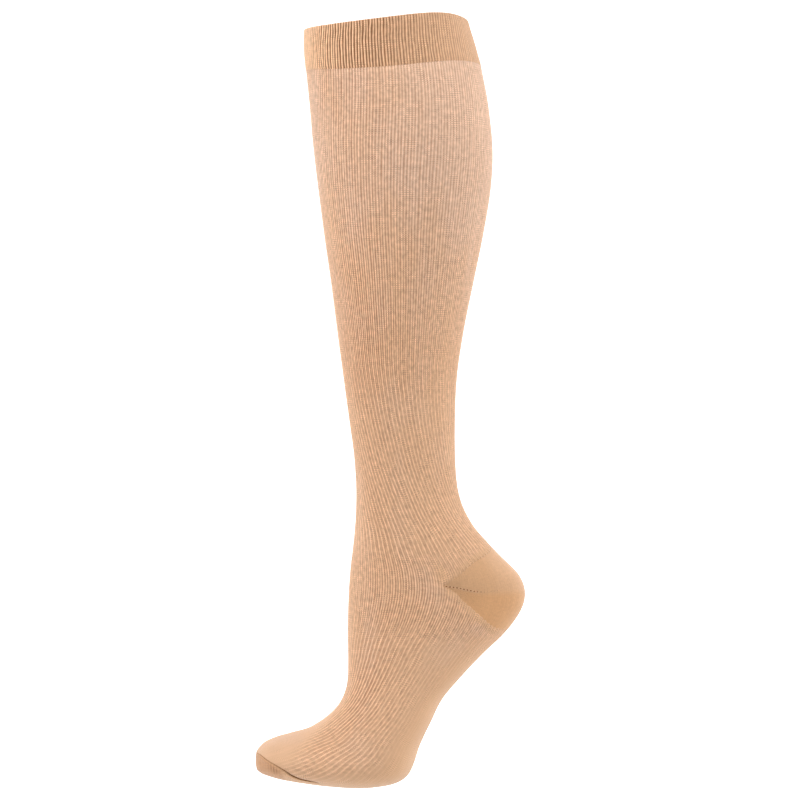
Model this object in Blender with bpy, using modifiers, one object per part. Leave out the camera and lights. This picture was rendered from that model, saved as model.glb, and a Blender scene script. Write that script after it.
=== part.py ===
"""Compression stocking: a closed-toe knee-high with a ribbed knee band, filled out on a raised heel.

The frame's origin is the middle of the knee band, where the leg holds the stocking. +Z is up, the toes
point to -X and the stocking is symmetric about Y = 0. Run it with blender --background --python part.py,
or from Blender's text editor.
"""

from collections import namedtuple

import bpy
import numpy as np
from mathutils import Vector

MM = 0.001

# The cloth. Every wall is thickened inwards from the outer surface.
TUBE_WALL = 1.0 * MM
POCKET_WALL = 1.3 * MM
TOE_WALL = 1.3 * MM
BAND_WALL = 1.7 * MM
SEAM_GAP = 0.3 * MM  # between two pieces that meet at a seam

# The ribbed knee band.
RIBS = 160
RIB_HEIGHT = 0.5 * MM
RIM_ROUNDING = 1.0 * MM

# The lofts. The band's outside has two points a rib, its lining a fifth of them, and all other rings
# have POINTS_ROUND.
LINING_ROUND = 64
POINTS_ROUND = 60
BANDS_PER_SECTION = 2
CUTTER_HALF_WIDTH = 80 * MM

# A section is a ring from its front point to its back point, in the plane Y = 0. back_bias makes the
# half nearer the back point wider, and side_lift raises the ring's sides over its two ends, with its
# highest points towards the back.
LIFT_SKEW = 2.5
Section = namedtuple("Section", "name front_x front_z back_x back_z half_width back_bias side_lift")

BAND_SECTIONS = (
    Section("rim", -60.7, 12.8, 55.2, 19.3, 47.0, 0.00, 1.8),
    Section("band middle", -60.8, -1.0, 60.0, 3.5, 47.5, 0.03, 0.8),
    Section("band base", -59.5, -15.5, 64.5, -12.0, 48.5, 0.06, 0.0),
)

LEG_SECTIONS = (
    Section("calf top", -59.5, -15.5, 64.5, -12.0, 48.5, 0.06, 0.0),
    Section("calf upper", -56.7, -42.0, 69.8, -41.0, 52.5, 0.10, 0.0),
    Section("calf", -54.5, -68.0, 72.7, -71.5, 54.0, 0.12, 0.0),
    Section("calf lower", -50.7, -100.0, 71.3, -100.0, 52.5, 0.12, 0.0),
    Section("calf end", -46.6, -132.0, 65.8, -133.5, 48.5, 0.10, 0.0),
    Section("shin upper", -42.0, -164.0, 59.0, -166.5, 43.5, 0.06, 0.0),
    Section("shin", -37.8, -196.0, 52.4, -199.0, 38.5, 0.02, 0.0),
    Section("shin lower", -33.6, -228.0, 47.6, -231.0, 34.0, -0.02, 0.0),
    Section("ankle upper", -29.4, -259.0, 46.0, -262.0, 30.5, -0.05, 0.0),
    Section("ankle", -25.2, -290.0, 46.3, -294.0, 29.0, -0.06, 0.0),
    Section("ankle lower", -23.9, -313.0, 49.3, -318.0, 29.0, -0.06, 0.0),
    Section("heel cord", -24.2, -332.0, 58.6, -338.0, 30.0, -0.06, 0.0),
    Section("heel upper", -25.8, -351.0, 76.0, -357.5, 31.5, -0.06, 0.0),
    Section("heel back", -27.7, -367.0, 92.3, -375.0, 32.8, -0.04, 0.0),
    Section("heel turn", -28.9, -381.5, 95.2, -391.5, 33.2, 0.00, 0.0),
    Section("heel under", -29.6, -397.0, 85.2, -410.0, 32.8, 0.04, 0.0),
    Section("arch back", -29.9, -415.0, 66.0, -429.0, 32.2, 0.08, 0.0),
    Section("arch", -29.6, -433.0, 50.0, -446.0, 32.4, 0.12, 0.0),
    Section("instep", -30.2, -449.5, 37.0, -461.5, 33.8, 0.15, 0.0),
    Section("instep turn", -34.3, -461.8, 29.0, -477.5, 36.3, 0.18, 0.0),
    Section("ball upper", -42.5, -471.8, 21.6, -493.0, 39.0, 0.20, 0.0),
    Section("ball", -56.5, -481.3, 11.5, -516.5, 41.8, 0.22, 0.0),
    Section("toe joints", -70.0, -485.3, -12.0, -523.6, 42.3, 0.22, 0.0),
    Section("toes", -80.5, -488.3, -43.0, -522.7, 39.5, 0.20, 0.0),
    Section("toe tips", -88.8, -492.0, -72.5, -518.8, 33.0, 0.15, 0.0),
    Section("toe front", -93.8, -497.0, -87.5, -514.6, 22.5, 0.08, 0.0),
)
TOE_POINT = Vector((-95.9, 0, -505.0)) * MM

# Outlines of the pieces that are knitted or linked on, seen from the side, in (x, z). Each runs along
# its seam first, and then round outside the stocking.
HEEL_SEAM = (
    (71.5, -352.0), (63.5, -359.5), (57.0, -364.0), (47.5, -372.5), (42.5, -376.5),
    (37.5, -379.5), (47.0, -384.5), (51.5, -389.5), (63.0, -400.0), (73.5, -409.0), (84.5, -413.5),
)  # fmt: skip
HEEL_OUTSIDE = ((120.0, -420.0), (120.0, -340.0))
HEEL_ROWS = ("ankle lower", "instep turn")
TOE_SEAM = (
    (-97.0, -499.6), (-91.5, -500.8), (-87.0, -502.3), (-81.5, -504.9), (-75.5, -509.6),
    (-70.0, -513.2), (-62.0, -516.1), (-55.0, -517.2), (-49.5, -517.8), (-46.5, -519.5),
    (-45.5, -523.0),
)  # fmt: skip
TOE_OUTSIDE = ((-45.5, -545.0), (-115.0, -545.0), (-115.0, -496.0))
TOE_ROWS = ("ball", "toe front")

# Colours (linear) and roughness of the cloth.
TAN = (0.62, 0.38, 0.23)
ROSE_TAN = (0.66, 0.42, 0.28)
LIGHT_TAN = (0.70, 0.46, 0.29)
CLOTH_ROUGHNESS = 0.85


def clear_scene():
    """Removes every object of the open scene."""
    for thing in list(bpy.data.objects):
        bpy.data.objects.remove(thing, do_unlink=True)


def new_collection(name):
    """A new collection in the scene."""
    collection = bpy.data.collections.new(name)
    bpy.context.scene.collection.children.link(collection)
    return collection


def cloth_material(name, colour):
    """A matt cloth of one colour."""
    material = bpy.data.materials.new(name)
    material.use_nodes = True
    shader = material.node_tree.nodes["Principled BSDF"]
    shader.inputs["Base Color"].default_value = (*colour, 1)
    shader.inputs["Roughness"].default_value = CLOTH_ROUGHNESS
    shader.inputs["Metallic"].default_value = 0
    material.diffuse_color = (*colour, 1)
    return material


def new_object(name, collection, vertices, faces, material=None):
    """A smooth-shaded mesh object from points in metres."""
    mesh = bpy.data.meshes.new(name)
    mesh.from_pydata([tuple(map(float, v)) for v in vertices], [], faces)
    mesh.validate()
    mesh.shade_smooth()
    if material:
        mesh.materials.append(material)
    thing = bpy.data.objects.new(name, mesh)
    collection.objects.link(thing)
    return thing


def values(sections):
    """The sections' numbers as an array, with a row for each section."""
    return np.array([section[1:] for section in sections])


def smoothed(rows, steps):
    """Catmull-Rom curves through the rows, with that many steps from each row to the next."""
    ends = np.vstack([2 * rows[0] - rows[1], rows, 2 * rows[-1] - rows[-2]])
    out = []
    for p0, p1, p2, p3 in zip(ends, ends[1:], ends[2:], ends[3:]):
        for t in np.arange(steps) / steps:
            bend = (2 * p0 - 5 * p1 + 4 * p2 - p3) * t**2 + (3 * p1 - p0 - 3 * p2 + p3) * t**3
            out.append(p1 + 0.5 * ((p2 - p0) * t + bend))
    return np.array(out + [rows[-1]])


def ring(row, count, inset=0.0, ripple=0.0):
    """The points of one section's ring, in metres.

    The inset moves the ring inwards, and the ripple moves every second point out and the others in.
    """
    front_x, front_z, back_x, back_z, half_width, back_bias, side_lift = row
    turn = np.arange(count) * 2 * np.pi / count
    out = ripple * (-1.0) ** np.arange(count) - inset
    half = np.array([front_x - back_x, front_z - back_z]) / 2 * MM
    centre = np.array([front_x + back_x, front_z + back_z]) / 2 * MM
    reach = 1 + out / np.hypot(*half)
    across = half_width * MM * (1 - back_bias * np.cos(turn)) + out
    x = centre[0] + half[0] * np.cos(turn) * reach
    z = centre[1] + half[1] * np.cos(turn) * reach
    z = z + side_lift * MM * np.sin(turn) ** 2 * (1 - LIFT_SKEW * np.cos(turn))
    return np.column_stack([x, -across * np.sin(turn), z])


def loft(name, collection, rows, wall, material, tip=None):
    """A skin through the rows' rings, thickened inwards, and closed at the tip where there is one."""
    points = np.vstack([ring(row, POINTS_ROUND) for row in rows])
    faces = []
    for band in range(len(rows) - 1):
        upper = band * POINTS_ROUND
        lower = upper + POINTS_ROUND
        for i in range(POINTS_ROUND):
            j = (i + 1) % POINTS_ROUND
            faces.append((upper + i, lower + i, lower + j, upper + j))
    if tip is not None:
        last = len(points) - POINTS_ROUND
        for i in range(POINTS_ROUND):
            faces.append((last + i, len(points), last + (i + 1) % POINTS_ROUND))
        points = np.vstack([points, tip])
    skin = new_object(name, collection, points, faces, material)
    cloth = skin.modifiers.new("wall", "SOLIDIFY")
    cloth.thickness = wall
    cloth.offset = -1
    cloth.use_even_offset = True
    return skin


def prism(name, collection, outline, inset=0.0):
    """A cutter across the stocking: the outline, drawn in by the inset, and extruded along Y."""
    flat = np.array(outline) * MM
    before = flat - np.roll(flat, 1, axis=0)
    after = np.roll(flat, -1, axis=0) - flat
    before /= np.linalg.norm(before, axis=1)[:, None]
    after /= np.linalg.norm(after, axis=1)[:, None]
    inwards = np.column_stack([-(before + after)[:, 1], (before + after)[:, 0]])
    area = np.sum(flat[:, 0] * np.roll(flat[:, 1], -1) - np.roll(flat[:, 0], -1) * flat[:, 1])
    mitre = 1 + np.sum(before * after, axis=1)
    flat = flat + np.sign(area) * inset * inwards / mitre[:, None]
    count = len(flat)
    near = np.column_stack([flat[:, 0], np.full(count, -CUTTER_HALF_WIDTH), flat[:, 1]])
    far = near * (1, -1, 1)
    faces = [tuple(range(count)), tuple(reversed(range(count, 2 * count)))]
    faces += [(i, count + i, count + (i + 1) % count, (i + 1) % count) for i in range(count)]
    if area < 0:
        faces = [face[::-1] for face in faces]
    cutter = new_object(name, collection, np.vstack([near, far]), faces)
    cutter.data.shade_flat()
    cutter.display_type = "WIRE"
    cutter.hide_render = True
    return cutter


def cut(target, cutter, operation):
    """A Boolean of the target with the cutter."""
    modifier = target.modifiers.new(cutter.name, "BOOLEAN")
    modifier.operation = operation
    modifier.solver = "EXACT"
    modifier.object = cutter


def rows_between(first, last):
    """The smoothed leg rows from one named section to another."""
    names = [section.name for section in LEG_SECTIONS]
    rows = smoothed(values(LEG_SECTIONS), BANDS_PER_SECTION)
    return rows[names.index(first) * BANDS_PER_SECTION : names.index(last) * BANDS_PER_SECTION + 1]


def fan(fine, coarse, fine_count, coarse_count):
    """Triangles between a fine ring and a coarse one that starts at the same angle."""
    share = fine_count // coarse_count
    faces = []
    for i in range(coarse_count):
        start = i * share - share // 2
        for k in range(start, start + share):
            faces.append((coarse + i, fine + k % fine_count, fine + (k + 1) % fine_count))
        corner = fine + (start + share) % fine_count
        faces.append((coarse + i, corner, coarse + (i + 1) % coarse_count))
    return faces


def quads(upper, lower, count):
    """Faces between two rings of as many points, the upper one first."""
    return [(upper + i, lower + i, lower + (i + 1) % count, upper + (i + 1) % count) for i in range(count)]


def knee_band(collection, material):
    """The ribbed welt: ribs outside, a rounded fold at the rim, and a plain lining."""
    rim, middle, base = values(BAND_SECTIONS)
    shoulder = rim + (middle - rim) * RIM_ROUNDING / ((rim - middle)[1] * MM)
    levels = (shoulder, middle, base)
    fine = 2 * RIBS
    outside = [ring(row, fine, RIB_HEIGHT / 2, RIB_HEIGHT / 2) for row in levels]
    fold = ring(rim, LINING_ROUND, BAND_WALL / 2)
    lining = [ring(row, LINING_ROUND, BAND_WALL) for row in levels]
    points = np.vstack(outside + [fold] + lining)
    fold_at = 3 * fine
    inner = [fold_at + LINING_ROUND * (i + 1) for i in range(3)]
    faces = quads(0, fine, fine) + quads(fine, 2 * fine, fine)
    faces += fan(0, fold_at, fine, LINING_ROUND)
    faces += quads(inner[0], fold_at, LINING_ROUND)
    faces += quads(inner[1], inner[0], LINING_ROUND) + quads(inner[2], inner[1], LINING_ROUND)
    faces += [face[::-1] for face in fan(2 * fine, inner[2], fine, LINING_ROUND)]
    return new_object("cuff_welt", collection, points, faces, material)


def leg_and_foot(collection, cutters, material):
    """The circular-knit tube from the band to the toe seam, without the heel's wedge.

    Its straighter stretch, down to the ankle, has one band a section.
    """
    straight = rows_between("calf top", "ankle")[:-1:BANDS_PER_SECTION]
    rows = np.vstack([straight, rows_between("ankle", LEG_SECTIONS[-1].name)])
    step = rows[1] - rows[0]
    rows[0] += step * SEAM_GAP / (np.hypot(step[0], step[1]) * MM)
    tube = loft("leg_foot_tube", collection, rows, TUBE_WALL, material, TOE_POINT)
    cut(tube, prism("heel_opening", cutters, HEEL_SEAM + HEEL_OUTSIDE), "DIFFERENCE")
    cut(tube, prism("toe_opening", cutters, TOE_SEAM + TOE_OUTSIDE), "DIFFERENCE")
    return tube


def heel_pocket(collection, cutters, material):
    """The plain-knit pouch at the heel."""
    pocket = loft("heel_pocket", collection, rows_between(*HEEL_ROWS), POCKET_WALL, material)
    cut(pocket, prism("heel_wedge", cutters, HEEL_SEAM + HEEL_OUTSIDE, SEAM_GAP), "INTERSECT")
    return pocket


def toe_cap(collection, cutters, material):
    """The part under the toes, linked on along the toe seam."""
    cap = loft("toe_cap", collection, rows_between(*TOE_ROWS), TOE_WALL, material, TOE_POINT)
    cut(cap, prism("toe_wedge", cutters, TOE_SEAM + TOE_OUTSIDE, SEAM_GAP), "INTERSECT")
    return cap


def main():
    clear_scene()
    collection = new_collection("compression_stocking")
    cutters = new_collection("cutters")
    knee_band(collection, cloth_material("ribbed_knit_tan", TAN))
    leg_and_foot(collection, cutters, cloth_material("sheer_knit_rose_tan", ROSE_TAN))
    heel_pocket(collection, cutters, cloth_material("plain_knit_tan", TAN))
    toe_cap(collection, cutters, cloth_material("plain_knit_light_tan", LIGHT_TAN))


main()
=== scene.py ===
"""Looks of a compression stocking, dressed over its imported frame.

A closed-toe knee-high in fine tan elastic knit, filled out on a raised heel: a ribbed knee band, one
circular-knit tube for the leg and foot, a plain heel pocket with a gore line on each side, and a plain
toe underside that is linked on along the toe seam. Every piece is a closed sheet of cloth that is worked
out on one skin, whose rings come from two short tables of stations.

Positions are in the frame's axes: the origin is the middle of the knee band, +Z is up and the toes point
to -X. Sizes in the tables are millimetres, and MM turns them into metres.
"""

from __future__ import annotations

import logging
import math
from dataclasses import dataclass, field
from enum import Enum
from functools import cached_property
from typing import NamedTuple, Sequence, Union

import bpy
import numpy as np
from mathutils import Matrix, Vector


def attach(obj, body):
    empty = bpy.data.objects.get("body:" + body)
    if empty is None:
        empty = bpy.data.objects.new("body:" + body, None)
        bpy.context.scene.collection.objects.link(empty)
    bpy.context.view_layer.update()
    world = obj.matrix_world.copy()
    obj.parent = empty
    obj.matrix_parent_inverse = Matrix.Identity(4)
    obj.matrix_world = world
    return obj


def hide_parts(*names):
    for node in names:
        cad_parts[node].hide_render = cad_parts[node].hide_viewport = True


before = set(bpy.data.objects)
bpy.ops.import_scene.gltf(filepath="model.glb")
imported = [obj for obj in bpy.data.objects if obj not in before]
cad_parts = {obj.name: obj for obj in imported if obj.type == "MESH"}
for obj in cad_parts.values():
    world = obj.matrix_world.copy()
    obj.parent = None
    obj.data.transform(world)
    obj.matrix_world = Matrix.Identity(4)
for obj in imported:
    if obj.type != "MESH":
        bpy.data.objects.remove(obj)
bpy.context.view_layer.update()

LOG = logging.getLogger("stocking")
MM = 0.001
TURN = 2 * math.pi
BODY = "root"
KNIT_MAP = "knit"  # the UV map in wales across and courses along
BAKE_MAP = "OFBake"  # the UV map that lays the cloth out flat in one square
SLIVER = 0.001  # rows, which keep a place short of a table's last row
TINY = 1e-6  # next to nothing, in columns of a table or in metres

Point = tuple[float, float, float]
Colour = tuple[float, float, float]
Range = tuple[float, float]
Table = tuple[Range, ...]
Array = np.ndarray
Number = Union[Array, float]
Socket = bpy.types.NodeSocket
Plug = Union[Socket, float, Colour]


class Knit(Enum):
    """The ways in which the stocking is knitted."""

    RIBBED_WELT = "ribbed_knit_tan"
    SHEER_TUBE = "sheer_knit_rose_tan"
    PLAIN_POCKET = "plain_knit_tan"
    PLAIN_TOE = "plain_knit_light_tan"


class Station(NamedTuple):
    """A ring of the skin, from its front point to its back point in the plane Y = 0, in millimetres.

    back_bias makes the half nearer the back point wider. side_lift raises the ring's sides, most of all
    behind, and lowers them in front, and side_drop lowers them evenly.
    """

    name: str
    front_x: float
    front_z: float
    back_x: float
    back_z: float
    half_width: float
    back_bias: float
    side_lift: float
    side_drop: float = 0.0


BAND_STATIONS = (
    Station("rim", -60.7, 12.8, 55.2, 19.3, 47.0, 0.00, 1.8),
    Station("band middle", -60.8, -1.0, 60.0, 3.5, 47.5, 0.03, 0.8),
    Station("band base", -59.5, -15.5, 64.5, -12.0, 48.5, 0.06, 1.5, 3.4),
)

LEG_STATIONS = (
    Station("calf top", -59.5, -15.5, 64.5, -12.0, 48.5, 0.06, 1.5, 3.4),
    Station("calf upper", -56.7, -42.0, 69.8, -41.0, 52.5, 0.10, 0.0),
    Station("calf", -54.5, -68.0, 72.7, -71.5, 54.0, 0.12, 0.0),
    Station("calf lower", -50.7, -100.0, 71.3, -100.0, 52.5, 0.12, 0.0),
    Station("calf end", -46.6, -132.0, 65.8, -133.5, 48.5, 0.10, 0.0),
    Station("shin upper", -42.0, -164.0, 59.0, -166.5, 43.5, 0.06, 0.0),
    Station("shin", -37.8, -196.0, 52.4, -199.0, 38.5, 0.02, 0.0),
    Station("shin lower", -33.6, -228.0, 47.6, -231.0, 34.0, -0.02, 0.0),
    Station("ankle upper", -29.4, -259.0, 46.0, -262.0, 30.5, -0.05, 0.0),
    Station("ankle", -25.2, -290.0, 46.3, -294.0, 29.0, -0.06, 0.0),
    Station("ankle lower", -23.9, -313.0, 49.3, -318.0, 29.0, -0.06, 0.0),
    Station("heel cord", -24.2, -332.0, 58.6, -338.0, 30.0, -0.06, 0.0),
    Station("heel upper", -25.8, -351.0, 76.0, -357.5, 31.5, -0.06, 0.0),
    Station("heel back", -27.7, -367.0, 92.3, -375.0, 32.8, -0.04, 0.0),
    Station("heel turn", -28.9, -381.5, 95.2, -391.5, 33.2, 0.00, 0.0),
    Station("heel under", -29.6, -397.0, 85.2, -410.0, 32.8, 0.04, 0.0),
    Station("arch back", -29.9, -415.0, 66.0, -429.0, 32.2, 0.08, 0.0),
    Station("arch", -29.6, -433.0, 50.0, -446.0, 32.4, 0.12, 0.0),
    Station("instep", -30.2, -449.5, 37.0, -461.5, 33.8, 0.15, 0.0),
    Station("instep turn", -34.3, -461.8, 29.0, -477.5, 36.3, 0.18, 0.0),
    Station("ball upper", -42.5, -471.8, 21.6, -493.0, 39.0, 0.20, 0.0),
    Station("ball", -56.5, -481.3, 11.5, -516.5, 41.8, 0.22, 0.0),
    Station("toe joints", -70.0, -485.3, -12.0, -523.6, 42.3, 0.22, 0.0),
    Station("toes", -80.5, -488.3, -43.0, -522.7, 39.5, 0.20, 0.0),
    Station("toe tips", -88.8, -492.0, -72.5, -518.8, 33.0, 0.15, 0.0),
    Station("toe front", -93.6, -496.6, -88.2, -515.0, 22.5, 0.08, 0.0),
    Station("toe face", -94.7, -499.4, -93.7, -512.2, 15.5, 0.04, 0.0),
)
TOE_POINT = (-95.2, 0.0, -506.4)


def level_of(name: str) -> float:
    """The level of a named station of the leg."""
    return float([station.name for station in LEG_STATIONS].index(name))


def smoothstep(low: float, high: float, value: Array) -> Array:
    """0 up to low, 1 from high on, and the S curve 3t^2 - 2t^3 between them."""
    t = np.clip((np.asarray(value, float) - low) / (high - low), 0, 1)
    return t * t * (3 - 2 * t)


def read_off(table: Sequence[tuple[float, float]], at: Array) -> Array:
    """A table's value at each place, straight between its knots."""
    return np.interp(at, [knot[0] for knot in table], [knot[1] for knot in table])


def closed_round(grid: Array) -> Array:
    """A grid with its first column repeated at the end."""
    return np.hstack([grid, grid[:, :1]])


def bump(centre: float, reach: float, value: Array) -> Array:
    """1 at the centre and nearly 0 past the reach: the bell exp(-2 d^2), with d in reaches."""
    return np.exp(-2 * ((value - centre) / reach) ** 2)


def from_front(place: Array) -> Array:
    """How far a place lies from the front, the same on both sides: 0 in front and 1/2 behind."""
    return np.minimum(place % 1, 1 - place % 1)


def run_along(points: Array) -> Array:
    """The length from the first row of points down to each row, in metres."""
    step = np.linalg.norm(np.diff(points, axis=0), axis=-1)
    return np.concatenate([np.zeros_like(step[:1]), step.cumsum(axis=0)])


def numbered(shape: tuple[int, ...], first: int = 0) -> Array:
    """Point numbers over a grid, row after row, from the first one on."""
    return np.arange(math.prod(shape)).reshape(shape) + first


def both_sides(outer: Array, inner: Array) -> Array:
    """The values of a sheet's outside points and then of its inside points, in one row."""
    return np.concatenate([outer.ravel(), inner.ravel()])


def quads(of: Array) -> Array:
    """The values at each quad's corners in a grid: upper, lower, lower beside and upper beside."""
    upper, lower = of[..., :-1, :], of[..., 1:, :]
    return np.stack([upper[..., :-1], lower[..., :-1], lower[..., 1:], upper[..., 1:]], -1).reshape(-1, 4)


def spline(knots: Array, place: Array) -> Array:
    """The Catmull-Rom curve through the knots.

    From a knot p1 to the next, p2, it is the cubic whose slopes there are half of p2 - p0 and half of
    p3 - p1. One more knot stands past each end, in line with the last two.

    Args:
        knots: A row of values for each knot.
        place: Places along the curve: 0 at the first knot, 1 at the next, and so on.

    Returns:
        The curve's values, with one more axis than the places.
    """
    padded = np.vstack([2 * knots[0] - knots[1], knots, 2 * knots[-1] - knots[-2]])
    k = np.minimum(place.astype(int), len(knots) - 2)
    t = (place - k)[..., None]
    p0, p1, p2, p3 = (padded[k + ahead] for ahead in range(4))
    bend = (2 * p0 - 5 * p1 + 4 * p2 - p3) * t**2 + (3 * p1 - p0 - 3 * p2 + p3) * t**3
    return p1 + 0.5 * ((p2 - p0) * t + bend)


@dataclass(frozen=True)
class Unevenness:
    """Smooth seeded unevenness over wales and levels: a table of random values, read between its cells.

    The value at (wale, level) is the S-curve blend of the table's four nearest cells, so each wale has
    its own value, and it wanders as the wale runs down the leg.
    """

    seed: int
    wales: int
    bands: int = 40
    level_step: float = 0.9

    @cached_property
    def table(self) -> Array:
        """Random values from -1 to 1, a row for each band of levels and a column for each wale."""
        return np.random.default_rng(self.seed).uniform(-1, 1, (self.bands, self.wales))

    def at(self, wale: Array, level: Array) -> Array:
        """The unevenness at fractional wales and levels.

        Args:
            wale: Wale numbers, with fractions.
            level: Levels.

        Returns:
            Values from -1 to 1.
        """
        row = np.clip(level / self.level_step, 0, self.bands - (1 + SLIVER))
        top, left = row.astype(int), np.floor(wale).astype(int)
        down, across = smoothstep(0, 1, row - top), smoothstep(0, 1, wale - left)
        left, right = left % self.wales, (left + 1) % self.wales
        upper = self.table[top, left] * (1 - across) + self.table[top, right] * across
        lower = self.table[top + 1, left] * (1 - across) + self.table[top + 1, right] * across
        return upper * (1 - down) + lower * down


@dataclass(frozen=True)
class Skin:
    """The smooth outer skin that the cloth lies on, as a function of a turn and a level.

    A level is a place along the stations: 0 is the first one, 1 the next. The stations' numbers follow
    Catmull-Rom curves between them. A turn of 0 is the front, a quarter turn the near side, at -Y, and
    half a turn the back. Where there is a toe point, the last ring closes on it over one more level.
    """

    stations: tuple[Station, ...]
    toe_point: Point | None = None
    lift_shape: tuple[float, ...] = (-1.67, 1.67, -2.2, 0.25)  # a cubic's factors, the highest power first
    closing_start: float = math.radians(23)
    slope_step: float = 2e-3
    pole_steps: int = 5

    @cached_property
    def last(self) -> int:
        """The level of the last station."""
        return len(self.stations) - 1

    @cached_property
    def end(self) -> float:
        """The level at which the skin ends."""
        return self.last + (1.0 if self.toe_point else 0.0)

    def rings(self, level: Array) -> Array:
        """The stations' eight numbers at each level."""
        return spline(np.array([station[1:] for station in self.stations]), np.clip(level, 0, self.last))

    def points(self, turn: Array, level: Array) -> Array:
        """Points of the skin, in metres.

        A ring is its middle plus half its front-to-back vector times cos(turn), and its half width times
        sin(turn) across, wider behind by the bias. It is raised by the lift times a cubic of cos(turn),
        less the drop, and all of that times sin^2(turn). Past the last station, the ring shrinks with
        the cosine of an angle that grows to a right angle, while its middle moves to the toe point with
        the sine, so that the toe ends in a rounded dome.

        Args:
            turn: Angles round the leg, in radians.
            level: Levels, of the same shape.

        Returns:
            An array of points with one more axis, for X, Y and Z.
        """
        turn, level = np.broadcast_arrays(np.asarray(turn, float), np.asarray(level, float))
        numbers = np.moveaxis(self.rings(level), -1, 0)
        front_x, front_z, back_x, back_z, half_width, bias, lift, drop = numbers
        cos, sin = np.cos(turn), np.sin(turn)
        middle = np.stack([(front_x + back_x) / 2, np.zeros_like(cos), (front_z + back_z) / 2], -1)
        raised = sin**2 * (lift * np.polyval(self.lift_shape, cos) - drop)
        away = np.stack(
            [
                (front_x - back_x) / 2 * cos,
                -half_width * (1 - bias * cos) * sin,
                (front_z - back_z) / 2 * cos + raised,
            ],
            -1,
        )
        if self.toe_point is None:
            return (middle + away) * MM
        start = self.closing_start
        angle = start + np.clip(level - self.last, 0, 1) * (math.pi / 2 - start)
        shrink = (np.cos(angle) / math.cos(start))[..., None]
        ahead = ((np.sin(angle) - math.sin(start)) / (1 - math.sin(start)))[..., None]
        return (middle + away * shrink + (np.array(self.toe_point) - middle) * ahead) * MM

    def normals(self, turn: Array, level: Array) -> Array:
        """Outward unit normals: the cross product of the steps down the level and round the turn, taken
        no nearer the skin's end than a few steps.

        Args:
            turn: Angles round the leg, in radians.
            level: Levels, of the same shape.

        Returns:
            The normals, with one more axis for X, Y and Z.
        """
        step = self.slope_step
        level = np.clip(level, step, self.end - self.pole_steps * step)
        down = self.points(turn, level + step) - self.points(turn, level - step)
        around = self.points(turn + step, level) - self.points(turn - step, level)
        outward = np.cross(down, around)
        return outward / np.linalg.norm(outward, axis=-1, keepdims=True)


# Levels, and the drift or the spread of the wales there.
LEG_DRIFT = (
    (0, 0.0846), (1, 0.096), (2, 0.106), (3, 0.1122), (4, 0.1100), (5, 0.1030), (6, 0.0965), (7, 0.0930),
    (8, 0.0810), (9, 0.0567), (10, 0.0240), (11, 0.0060), (11.4, 0), (15.6, 0), (17, 0.009), (18, 0.023),
    (19, 0.038), (20, 0.050), (21.17, 0.062), (23.4, -0.016), (24.2, -0.038), (25, -0.043), (27, -0.043),
)  # fmt: skip
BAND_DRIFT = ((0, 0.0701), (1, 0.0780), (2, 0.0846))
LEG_SPREAD = ((0, 0), (20, 0), (21, 0.05), (22, 0.25), (24, 0.3), (27, 0.3))


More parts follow.
